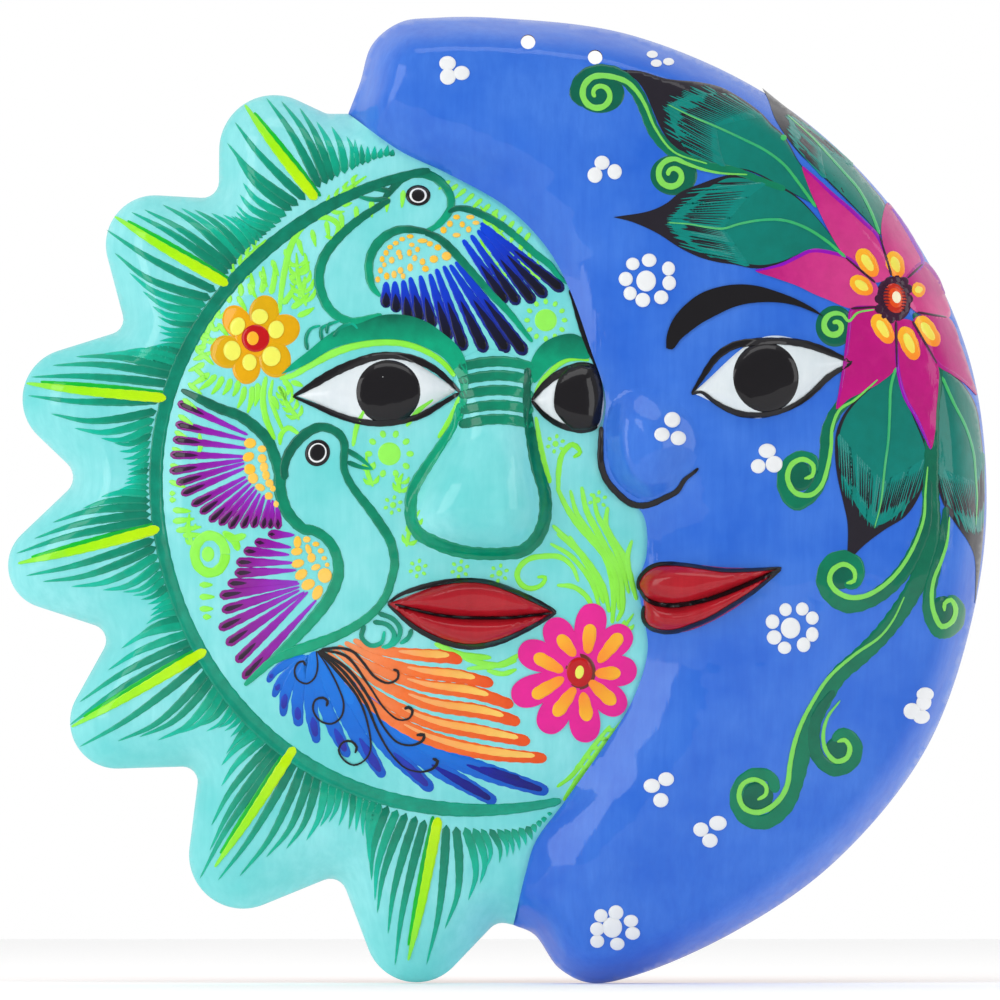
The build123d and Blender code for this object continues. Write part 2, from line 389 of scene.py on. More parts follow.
def mesh_object(name, verts, faces, smooth_angle=40.0):
    """Object in metres from points in millimetres."""
    mesh = bpy.data.meshes.new(name)
    mesh.from_pydata(
        [tuple(v) for v in np.asarray(verts) / 1000.0], [], [tuple(int(i) for i in f) for f in faces]
    )
    mesh.validate()
    mesh.shade_smooth()
    mesh.set_sharp_from_angle(angle=math.radians(smooth_angle))
    piece = bpy.data.objects.new(name, mesh)
    bpy.context.collection.objects.link(piece)
    return piece


def place(piece, slot, *nodes):
    """Ride on the plaque's only body and stand for CAD nodes, which are hidden. The slot is not used."""
    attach(piece, "root")
    if nodes:
        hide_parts(*nodes)


# Materials


def linear(colour):
    """Scene colour of an (r, g, b) given from 0 to 255."""
    shares = [c / 255 for c in colour]
    return tuple(s / 12.92 if s <= 0.04045 else ((s + 0.055) / 1.055) ** 2.4 for s in shares) + (1.0,)


class Nodes:
    """Small helper that builds a material's node tree."""

    def __init__(self, name):
        self.material = bpy.data.materials.new(name)
        self.material.use_nodes = True
        self.tree = self.material.node_tree
        self.shader = self.tree.nodes["Principled BSDF"]

    def node(self, kind, **settings):
        made = self.tree.nodes.new(kind)
        for key, value in settings.items():
            setattr(made, key, value)
        return made

    def link(self, source, target):
        self.tree.links.new(source, target)

    def noise(self, scale, detail=3.0, roughness=0.5, stretch=None):
        coordinates = self.node("ShaderNodeTexCoord").outputs["Object"]
        if stretch:
            mapping = self.node("ShaderNodeMapping")
            mapping.inputs["Scale"].default_value = stretch
            self.link(coordinates, mapping.inputs["Vector"])
            coordinates = mapping.outputs["Vector"]
        texture = self.node("ShaderNodeTexNoise")
        texture.inputs["Scale"].default_value = scale
        texture.inputs["Detail"].default_value = detail
        texture.inputs["Roughness"].default_value = roughness
        self.link(coordinates, texture.inputs["Vector"])
        return texture.outputs["Fac"]

    def ramp(self, factor, stops):
        ramp = self.node("ShaderNodeValToRGB")
        elements = ramp.color_ramp.elements
        elements[0].position, elements[0].color = stops[0]
        elements[1].position, elements[1].color = stops[-1]
        for position, colour in stops[1:-1]:
            elements.new(position).color = colour
        self.link(factor, ramp.inputs["Fac"])
        return ramp.outputs["Color"]

    def mix(self, factor, first, second, blend="MIX"):
        mixer = self.node("ShaderNodeMix", data_type="RGBA", blend_type=blend)
        for value, socket in ((factor, 0), (first, 6), (second, 7)):
            if hasattr(value, "is_linked"):
                self.link(value, mixer.inputs[socket])
            else:
                mixer.inputs[socket].default_value = value
        return mixer.outputs[2]

    def value(self, operation, first, second):
        maths = self.node("ShaderNodeMath", operation=operation)
        for value, socket in ((first, 0), (second, 1)):
            if hasattr(value, "is_linked"):
                self.link(value, maths.inputs[socket])
            else:
                maths.inputs[socket].default_value = value
        return maths.outputs[0]

    def bump(self, height, strength, distance, below=None):
        bump = self.node("ShaderNodeBump")
        bump.inputs["Strength"].default_value = strength
        bump.inputs["Distance"].default_value = distance
        self.link(height, bump.inputs["Height"])
        if below:
            self.link(below, bump.inputs["Normal"])
        return bump.outputs["Normal"]

    def varnish(self, roughness=0.32):
        """Clear coat brushed on by hand: slow waves make its reflections ragged, with fine brush marks."""
        waves = self.bump(self.noise(55.0, 2.0, 0.55), 0.55, 0.0012)
        marks = self.bump(self.noise(900.0, 2.0, 0.6, (1.0, 1.0, 0.12)), 0.10, 0.0002, waves)
        self.link(marks, self.shader.inputs["Normal"])
        self.link(marks, self.shader.inputs["Coat Normal"])
        self.shader.inputs["Roughness"].default_value = roughness
        self.shader.inputs["Coat Weight"].default_value = 0.8
        self.shader.inputs["Coat Roughness"].default_value = 0.04
        self.shader.inputs["Coat IOR"].default_value = 1.38
        self.shader.inputs["Specular IOR Level"].default_value = 0.08


def glaze(name, light, dark, deep):
    """Ground coat of paint under varnish: cloudy change between brush loads, faint vertical streaks."""
    nodes = Nodes(name)
    clouds = nodes.ramp(nodes.noise(28.0, 4.0, 0.6), [(0.35, linear(dark)), (0.62, linear(light))])
    streaks = nodes.noise(420.0, 3.0, 0.65, (1.0, 1.0, 0.1))
    faint = nodes.ramp(streaks, [(0.35, (0.0, 0.0, 0.0, 1.0)), (0.75, (0.35, 0.35, 0.35, 1.0))])
    nodes.link(nodes.mix(faint, clouds, linear(deep)), nodes.shader.inputs["Base Color"])
    nodes.varnish()
    return nodes.material


def terracotta():
    """Bare fired clay of the back, with sandy grain and smoke-grey patches."""
    nodes = Nodes("bare_terracotta")
    colours = [
        (0.3, linear((150, 84, 58))), (0.5, linear((184, 112, 78))), (0.72, linear((203, 136, 98)))
    ]
    clouds = nodes.ramp(nodes.noise(35.0, 5.0, 0.6), colours)
    specks = nodes.ramp(
        nodes.noise(1400.0, 2.0, 0.7), [(0.60, (0, 0, 0, 1)), (0.72, (0.6, 0.6, 0.6, 1))]
    )
    nodes.link(nodes.mix(specks, clouds, linear((116, 66, 48))), nodes.shader.inputs["Base Color"])
    nodes.shader.inputs["Roughness"].default_value = 0.9
    fingers = nodes.bump(nodes.noise(60.0, 3.0, 0.5), 0.6, 0.0015)
    grain = nodes.bump(nodes.noise(1600.0, 3.0, 0.7), 0.5, 0.0002, fingers)
    nodes.link(grain, nodes.shader.inputs["Normal"])
    return nodes.material


TURQUOISE = glaze("turquoise_ground", (146, 230, 232), (112, 216, 216), (96, 204, 206))
BLUE = glaze("blue_ground", (66, 124, 224), (40, 104, 214), (30, 90, 204))
TERRACOTTA = terracotta()


# Clay shells


def hollow_share(x, z):
    """1 in the hollow of the back, 0 on its rim, with a short slope between."""
    radius, angle = np.hypot(x, z), np.degrees(np.arctan2(z, x))
    low, high = HOLLOW_MOON_TURNS
    spokes = np.minimum(np.sin(np.radians(angle - low)), np.sin(np.radians(high - angle))) * radius
    sector = np.where(
        (angle > low) & (angle < high), np.minimum(HOLLOW_MOON_RADIUS - radius, spokes), -1.0
    )
    depth = np.maximum(HOLLOW_SUN_RADIUS - radius, sector)
    for hx, hz in HOLES:
        depth = np.minimum(depth, np.hypot(x - hx, z - hz) - HOLE_PAD)
    return rise_between(0.0, HOLLOW_SLOPE, depth)


def circle(centre, radius, count):
    """Closed loop of points round a centre."""
    turns = 2 * math.pi * np.arange(count) / count
    return np.column_stack([centre[0] + radius * np.cos(turns), centre[1] + radius * np.sin(turns)])


def shell(name, loop, ground, slot, material, holes=()):
    """One clay shell: painted front and sides, hollow bare back."""
    flat, faces = filled(loop, SHELL_SPACING, holes)
    front = ground.read(ground.base, flat)
    back = hollow_share(flat[:, 0], flat[:, 1]) * np.maximum(front - WALL, 0.0)
    verts, fronts, backs, walls = thick(flat, faces, front, back)
    piece = mesh_object(name, verts, fronts + walls + backs, 60.0)
    piece.data.materials.append(material)
    piece.data.materials.append(TERRACOTTA)
    for polygon in piece.data.polygons[len(fronts) :]:
        spot = np.array(polygon.center)[[0, 2]] * 1000.0
        in_hole = min(np.hypot(*(spot - hole)) for hole in HOLES) < HOLE_RADIUS + 0.3
        if in_hole or polygon.index >= len(fronts) + len(walls):
            polygon.material_index = 1
    place(piece, slot, name)
    return piece


# Laid-on relief


def relief_piece(name, outline, ground, rise, slot, material, spacing=1.2, lip=0.3):
    """A piece laid on a shell. rise(x, z, depth) is its height over its lip, a depth in from its edge."""
    loop = np.asarray(outline)
    depth = depth_inside(loop, ground.x, ground.z)
    ground.add(np.where(depth > 0, lip + rise(ground.x, ground.z, np.maximum(depth, 0)), -1.0))
    flat, faces = filled(loop, spacing)
    inward = np.maximum(depth_inside(loop, flat[:, 0], flat[:, 1]), 0)
    base = ground.read(ground.base, flat)
    front = base + lip + rise(flat[:, 0], flat[:, 1], inward)
    verts, fronts, backs, walls = thick(flat, faces, front, base - 1.0)
    piece = mesh_object(name, verts, fronts + walls + backs, 60.0)
    piece.data.materials.append(material)
    place(piece, slot, name)
    return piece


def almond(left, top, right, bottom):
    """Pointed oval through its four ends."""
    return np.vstack([spline([left, top, right])[:-1], spline([right, bottom, left])[:-1]])


def joined(*curves):
    """Closed loop of curves laid end to end."""
    return np.vstack([np.asarray(curve, float)[:-1] for curve in curves])


def crown(height, width):
    """Rise of a rounded pad: its height is reached at a width inside the outline."""
    return lambda x, z, depth: height * round_over(depth / width, 2.0)


def soft_nose(x, z, depth):
    """Bump of the moon's nose: steep at its profile, melting into the cheek on the other side."""
    steep = rise_between(0.0, 7.0, depth)
    melting = rise_between(0.0, 15.0, depth)
    cheek = rise_between(40.0, 56.0, x + 0.5 * (z - 8))
    return 6.0 * (steep * (1 - cheek) + melting * cheek)


NOSE_PLACES = [-17, -14, -8, -3, 5, 20, 35, 45]
NOSE_RISES = [4.0, 8.5, 11.5, 12.0, 11.0, 7.0, 3.0, 0.8]
NOSE_WIDTHS = [9, 11, 14, 15, 14, 11, 9, 8]


def sun_nose_rise(x, z, depth):
    """Wedge of the nose: low at the bridge, highest just above the tip."""
    return np.interp(z, NOSE_PLACES, NOSE_RISES) * round_over(
        depth / np.interp(z, NOSE_PLACES, NOSE_WIDTHS), 2.0
    )


SUN_NOSE = [
    (-4, 45), (-13, 40), (-13.5, 22), (-22, 8), (-27.5, -4), (-24, -11.5), (-8, -16.5), (8, -15),
    (14.3, -5), (12.5, 10), (9.5, 24), (8, 40),
]
SUN_LEFT_EYE = almond((-60.5, 31.1), (-34, 43.7), (-12.3, 33), (-34, 22.6))
SUN_RIGHT_EYE = joined(
    spline([(9.7, 29.8), (13, 34.5), (17.5, 38.2), (22.1, 40.5), (25.4, 40.9), (29, 39.6)]),
    spline([(29, 39.6), (30.6, 34), (31.2, 29), (30.4, 24), (29.2, 21.4)]),
    spline([(29.2, 21.4), (25.4, 20.4), (22.1, 20.7), (17.5, 22.1), (13, 25.3), (9.7, 29.8)]),
)
MOON_EYE = almond((57.5, 32), (80, 49), (104.8, 41.5), (78, 24.5))
SUN_LIP_TOP = joined(
    spline([(-33.5, -31), (-20, -26), (-9, -23.8), (2, -25.5), (16.5, -33.5)]),
    spline([(16.5, -33.5), (0, -35.3), (-15, -34.8), (-33.5, -31)]),
)
SUN_LIP_BOTTOM = joined(
    spline([(-33.5, -31), (-15, -34.8), (0, -35.3), (16.5, -33.5)]),
    spline([(16.5, -33.5), (4, -41), (-8, -44), (-22, -39.5), (-33.5, -31)]),
)
MOON_NOSE = [
    (33.6, 30), (31.6, 14), (35.2, 4.8), (44, -0.6), (52, 1.5), (59, 10), (60, 20), (54, 30), (43, 35),
]
MOON_LIP_TOP = joined(
    spline([(84, -20.3), (68, -20.2), (52, -19), (44.3, -20.9), (41.6, -25), (42.9, -29.3)]),
    spline([(42.9, -29.3), (52, -31.8), (64, -28.8), (84, -20.3)]),
)
MOON_LIP_BOTTOM = joined(
    spline([(42.9, -29.3), (44.2, -38), (54, -39.6), (70, -32.5), (84, -20.3)]),
    spline([(84, -20.3), (64, -28.8), (52, -31.8), (42.9, -29.3)]),
)

WHITE = glaze("eye_white", (234, 240, 243), (218, 228, 233), (206, 218, 225))
RED = glaze("lip_red", (186, 32, 44), (168, 18, 34), (140, 8, 22))

EYE_PAD = crown(3.0, 6.0)
SUN_LIP_PAD = crown(4.4, 4.0)
MOON_LIP_PAD = crown(4.6, 4.5)

shell("sun_shell", SUN_LOOP, SUN, "turquoise_glaze", TURQUOISE)
shell("moon_shell", MOON_LOOP, MOON, "blue_glaze", BLUE, [circle(h, HOLE_RADIUS, 20) for h in HOLES])
relief_piece("sun_nose", spline(SUN_NOSE, True), SUN, sun_nose_rise, "turquoise_glaze", TURQUOISE)
relief_piece("sun_left_eye", SUN_LEFT_EYE, SUN, EYE_PAD, "white_glaze", WHITE)
relief_piece("sun_right_eye", SUN_RIGHT_EYE, SUN, EYE_PAD, "white_glaze", WHITE)
relief_piece("sun_upper_lip", SUN_LIP_TOP, SUN, SUN_LIP_PAD, "red_glaze", RED, 1.0)
relief_piece("sun_lower_lip", SUN_LIP_BOTTOM, SUN, SUN_LIP_PAD, "red_glaze", RED, 1.0)
relief_piece("moon_nose", spline(MOON_NOSE, True), MOON, soft_nose, "blue_glaze", BLUE, lip=-0.1)
relief_piece("moon_eye", MOON_EYE, MOON, EYE_PAD, "white_glaze", WHITE)
relief_piece("moon_upper_lip", MOON_LIP_TOP, MOON, MOON_LIP_PAD, "red_glaze", RED, 1.0)
relief_piece("moon_lower_lip", MOON_LIP_BOTTOM, MOON, MOON_LIP_PAD, "red_glaze", RED, 1.0)


# Paint


def pigment(name, stops, uneven=0.30, dark=0.55, roughness=0.32):
    """One colour of paint. Its stops run along each stroke, and the brush leaves it thicker and thinner."""
    nodes = Nodes(name)
    along = nodes.node("ShaderNodeAttribute", attribute_name="along").outputs["Fac"]
    wander = nodes.value("MULTIPLY", nodes.value("SUBTRACT", nodes.noise(260.0, 3.0, 0.6), 0.5), uneven)
    colours = [(position, linear(colour)) for position, colour in stops]
    if len(colours) == 1:
        colours = [colours[0], (1.0, colours[0][1])]
    colour = nodes.ramp(nodes.value("ADD", along, wander), colours)
    load = nodes.ramp(
        nodes.noise(170.0, 4.0, 0.65), [(0.38, (1, 1, 1, 1)), (0.66, (dark, dark, dark, 1))]
    )
    colour = nodes.mix(0.4, colour, load, "MULTIPLY")
    nodes.link(colour, nodes.shader.inputs["Base Color"])
    nodes.varnish(roughness)
    return nodes.material


class Coat:
    """Brush strokes, patches and dots of one paint, gathered into one piece."""

    def __init__(self, name, ground, slot, material, layer=0):
        self.name, self.ground, self.slot, self.material, self.layer = name, ground, slot, material, layer
        self.breadth = 1.0
        self.verts, self.faces, self.along, self.count = [], [], [], 0
        self.marks = 0

    def level(self):
        """Height of the next mark, varied so that crossing marks never share a face."""
        self.marks += 1
        return self.layer * LAYER + MARK_STEP * (self.marks % MARK_LEVELS)

    def keep(self, verts, faces, along):
        self.verts.append(verts)
        self.along.append(along)
        self.faces += [tuple(int(i) + self.count for i in f) for f in faces]
        self.count += len(verts)

    def stroke(self, line, width, rise=FILM, start=0.0, end=1.0, step=1.0, closed=False):
        """Brush stroke along a line. The width is one number, or several spread evenly along it."""
        middle = spline(line, closed, step) if len(line) < SAMPLED_COUNT else np.asarray(line, float)
        if closed:
            middle = np.vstack([middle, middle[:1]])
        pieces = np.hypot(*np.diff(middle, axis=0).T)
        keep = np.concatenate([[True], pieces > 1e-4])
        middle, reach = middle[keep], np.concatenate([[0.0], np.cumsum(pieces[pieces > 1e-4])])
        length = reach[-1]
        widths = np.atleast_1d(np.asarray(width, float)) * self.breadth
        if not closed:  # closer points at both ends, which are rounded off below
            tip = min(widths[0], widths[-1], length) * 0.5
            extra = [tip * 0.06, tip * 0.3] if tip > 0.2 else []
            marks = np.unique(np.concatenate([reach, extra, [length - e for e in extra]]))
            middle = np.column_stack(
                [np.interp(marks, reach, middle[:, 0]), np.interp(marks, reach, middle[:, 1])]
            )
            reach = marks
        share = reach / length
        half = np.interp(share, np.linspace(0, 1, len(widths)), widths) / 2
        half = half * (1 + 0.05 * np.sin(reach * 1.7 + self.count % 7))
        if not closed:
            for from_end in (reach, length - reach):
                ratio = np.clip(from_end / np.maximum(half, 1e-3), 0, 1)
                half = half * np.sqrt(np.clip(1 - (1 - ratio) ** 2, 0.004, 1))
        ahead = np.gradient(middle, axis=0)
        ahead /= np.maximum(np.hypot(ahead[:, 0], ahead[:, 1]), 1e-9)[:, None]
        across = np.column_stack([-ahead[:, 1], ahead[:, 0]])
        # Cross-section: a buried edge, the flat top, the other buried edge, the middle of the underside
        inner = max(1, int(math.ceil(widths.max() / COLUMN_WIDTH)))
        shares = np.concatenate([[-1], np.linspace(-0.82, 0.82, 2 * inner + 1), [1], [0]])
        lifts = np.concatenate(
            [[-BURIED], np.full(2 * inner + 1, rise + self.level()), [-BURIED], [-BURIED]]
        )
        rows, columns = len(middle), len(shares)
        flat = (
            middle[:, None, :] + across[:, None, :] * (half[:, None] * shares[None, :])[:, :, None]
        ).reshape(-1, 2)
        height = self.ground.read(self.ground.top, flat) + np.tile(lifts, rows)
        verts = np.column_stack([flat[:, 0], -height, flat[:, 1]])
        faces = []
        for i in range(rows - 1):
            for j in range(columns):
                k = (j + 1) % columns
                faces.append(
                    (i * columns + j, i * columns + k, (i + 1) * columns + k, (i + 1) * columns + j)
                )
        faces.append(tuple(range(columns))[::-1])
        faces.append(tuple((rows - 1) * columns + j for j in range(columns)))
        self.keep(verts, faces, np.repeat(start + (end - start) * share, columns))

    def patch(self, outline, curved=True, rise=FILM, start=0.0, end=0.0, towards=None):
        """Filled area of paint. Its shade can run from one point to another."""
        loop = spline(outline, True, 0.9) if curved else np.asarray(outline, float)
        flat, faces = filled(loop, PATCH_SPACING)
        ground = self.ground.read(self.ground.top, flat)
        verts, fronts, backs, walls = thick(flat, faces, ground + rise + self.level(), ground - BURIED)
        along = np.full(len(flat), start)
        if towards is not None:
            a, b = np.array(towards[0], float), np.array(towards[1], float)
            along = start + (end - start) * np.clip((flat - a) @ (b - a) / ((b - a) @ (b - a)), 0, 1)
        self.keep(verts, fronts + walls + backs, np.concatenate([along, along]))

    def dot(self, centre, width, tall=None, turn=0.0, rise=0.35, shade=0.0):
        """Drop of paint that stands up as a low dome."""
        tall = tall or width
        count = max(8, int(max(width, tall) * 5))
        rings = [(0.0, 1.0), (0.45, 0.93), (0.75, 0.68), (0.93, 0.3), (1.0, -0.6)]
        c, s = math.cos(math.radians(turn)), math.sin(math.radians(turn))
        flat, lift = [], []
        for share, level in rings[1:]:
            for i in range(count):
                turning = 2 * math.pi * i / count
                u, v = width / 2 * share * math.cos(turning), tall / 2 * share * math.sin(turning)
                flat.append((centre[0] + u * c - v * s, centre[1] + u * s + v * c))
                lift.append(level)
        flat += [centre, centre]
        lift += [1.0, -0.6]
        flat, lift = np.array(flat, float), np.array(lift)
        height = self.ground.read(self.ground.top, flat)
        height += np.where(lift > 0, self.level() + rise * lift, -BURIED)
        verts = np.column_stack([flat[:, 0], -height, flat[:, 1]])
        top, bottom = len(flat) - 2, len(flat) - 1
        faces = []
        for i in range(count):
            k = (i + 1) % count
            faces.append((top, i, k))
            for ring in range(len(rings) - 2):
                low, high = ring * count, (ring + 1) * count
                faces.append((low + i, high + i, high + k, low + k))
            last = (len(rings) - 2) * count
            faces.append((last + k, last + i, bottom))
        self.keep(verts, faces, np.full(len(flat), shade))

    def finish(self):
        """Turn the gathered paint into one object."""
        piece = mesh_object(self.name, np.vstack(self.verts), self.faces, 70.0)
        attribute = piece.data.attributes.new("along", "FLOAT", "POINT")
        attribute.data.foreach_set("value", np.concatenate(self.along).astype(np.float32))
        piece.data.materials.append(self.material)
        place(piece, self.slot)
        return piece


coats = {}


def coat(name, ground, material, layer=0):
    """The coat of this name, made the first time it is asked for."""
    if name not in coats:
        slot = "turquoise_glaze" if ground is SUN else "blue_glaze"
        coats[name] = Coat(name, ground, slot, material, layer)
    return coats[name]


# Colours of the paints

GREEN_STROKE = pigment(
    "stroke_green", [(0.0, (0, 150, 118)), (0.35, (0, 172, 138)), (0.95, (0, 200, 172))]
)
DEEP_STROKE = pigment(
    "stroke_deep_green", [(0.0, (0, 122, 96)), (0.5, (0, 154, 122)), (0.95, (0, 186, 152))]
)
RING_GREEN = pigment("ring_green", [(0.0, (0, 118, 92)), (1.0, (0, 165, 135))], 0.7, 0.5)
OUTLINE_GREEN = pigment("outline_green", [(0.0, (0, 100, 78)), (1.0, (0, 172, 128))], 0.5, 0.6)
LIME = pigment("lime", [(0.0, (150, 246, 92)), (1.0, (140, 240, 60))], 0.3, 0.85)
RAY_LIME = pigment(
    "ray_lime", [(0.0, (196, 240, 0)), (0.6, (160, 240, 10)), (1.0, (140, 236, 70))], 0.3, 0.85
)
RAY_GREEN = pigment("ray_green", [(0.0, (0, 165, 60)), (1.0, (0, 200, 40))], 0.4, 0.7)
BLACK = pigment("black", [(0.0, (22, 20, 24))], 0.2, 0.8)
OCHRE = pigment("ochre", [(0.0, (255, 196, 48)), (1.0, (255, 206, 96))], 0.4, 0.9)
FEATHER_BLUE = pigment(
    "feather_blue", [(0.0, (0, 70, 225)), (0.45, (10, 50, 190)), (1.0, (16, 24, 80))], 0.2, 0.7
)
FEATHER_DARK = pigment("feather_dark", [(0.0, (14, 20, 70)), (1.0, (12, 12, 20))], 0.2, 0.8)
PURPLE = pigment(
    "feather_purple", [(0.0, (150, 50, 205)), (0.5, (146, 16, 170)), (1.0, (132, 16, 124))], 0.3, 0.7
)
PURPLE_DARK = pigment("feather_purple_dark", [(0.0, (60, 8, 70)), (1.0, (34, 14, 34))], 0.3, 0.8)
TAIL_BLUE = pigment(
    "tail_blue", [(0.0, (0, 122, 228)), (0.6, (0, 108, 216)), (1.0, (0, 84, 194))], 0.3, 0.85
)
TAIL_TIP = pigment("tail_tip", [(0.0, (20, 60, 190)), (1.0, (40, 40, 160))], 0.4, 0.75)
TAIL_NAVY = pigment("tail_navy", [(0.0, (0, 20, 160)), (1.0, (6, 8, 112))], 0.3, 0.8)
ORANGE = pigment(
    "tail_orange", [(0.0, (248, 150, 96)), (0.5, (246, 112, 40)), (1.0, (238, 80, 14))], 0.35, 0.8
)
AMBER = pigment(
    "tail_amber", [(0.0, (250, 168, 110)), (0.5, (255, 176, 84)), (1.0, (255, 208, 100))], 0.35, 0.85
)
PINK = pigment("pink_petal", [(0.0, (235, 20, 150)), (1.0, (222, 0, 138))], 0.4, 0.8)
PETAL_ORANGE = pigment("petal_orange", [(0.0, (255, 140, 40)), (1.0, (255, 186, 40))], 0.4, 0.9)
PETAL_YELLOW = pigment("petal_yellow", [(0.0, (242, 242, 96)), (1.0, (255, 215, 80))], 0.4, 0.9)
CENTRE_RED = pigment("centre_red", [(0.0, (196, 8, 18)), (1.0, (165, 0, 10))], 0.4, 0.75)
BROWN = pigment("ring_brown", [(0.0, (112, 44, 36))], 0.4, 0.8)
GOLD = pigment("gold_petal", [(0.0, (240, 170, 0)), (1.0, (220, 172, 0))], 0.5, 0.85)
WHITE_PAINT = pigment("white_paint", [(0.0, (238, 240, 242))], 0.1, 0.95, 0.25)
LEAF = pigment(
    "leaf_teal", [(0.0, (0, 116, 102)), (0.6, (0, 138, 128)), (1.0, (0, 142, 132))], 0.4, 0.8
)
LEAF_DARK = pigment("leaf_dark", [(0.0, (30, 26, 34)), (1.0, (36, 32, 42))], 0.3, 0.8)
VEIN = pigment(
    "leaf_vein", [(0.0, (110, 205, 110)), (0.5, (50, 178, 118)), (1.0, (60, 190, 100))], 0.4, 0.85
)
VINE = pigment("vine_green", [(0.0, (0, 98, 76)), (1.0, (0, 130, 92))], 0.5, 0.7)
VINE_LIME = pigment("vine_lime", [(0.0, (116, 212, 96)), (1.0, (138, 226, 88))], 0.3, 0.85)
ROSE = pigment(
    "rose_petal", [(0.0, (214, 70, 140)), (0.6, (206, 50, 134)), (1.0, (190, 10, 124))], 0.4, 0.75
)
EMBER = pigment(
    "rose_ember", [(0.0, (170, 20, 20)), (0.5, (216, 52, 24)), (1.0, (240, 84, 24))], 0.4, 0.75
)
PETAL_CREAM = pigment("cream", [(0.0, (250, 240, 205))], 0.2, 0.95)
ROSE_EDGE = pigment("rose_edge", [(0.0, (186, 0, 120)), (1.0, (130, 0, 200))], 0.5, 0.8)
ROSE_DARK = pigment("rose_dark", [(0.0, (60, 20, 50))], 0.3, 0.8)

# Ring between the face and the rays

turns = np.radians(np.linspace(98.5, 285.0, 150))
radii = 96.4 + 0.5 * np.sin(turns * 5)
ring_line = np.column_stack(
    [RING_CENTRE[0] + radii * np.cos(turns), RING_CENTRE[1] + radii * np.sin(turns)]
)
coat("ring_band", SUN, RING_GREEN, 3).stroke(
    ring_line, [2.4, 4.2, 4.6, 4.4, 4.4, 4.2, 5.0, 4.8, 4.6, 2.6], 0.16
)

# Strokes of the rays: base on the ring and tip, and how far the stroke bows sideways

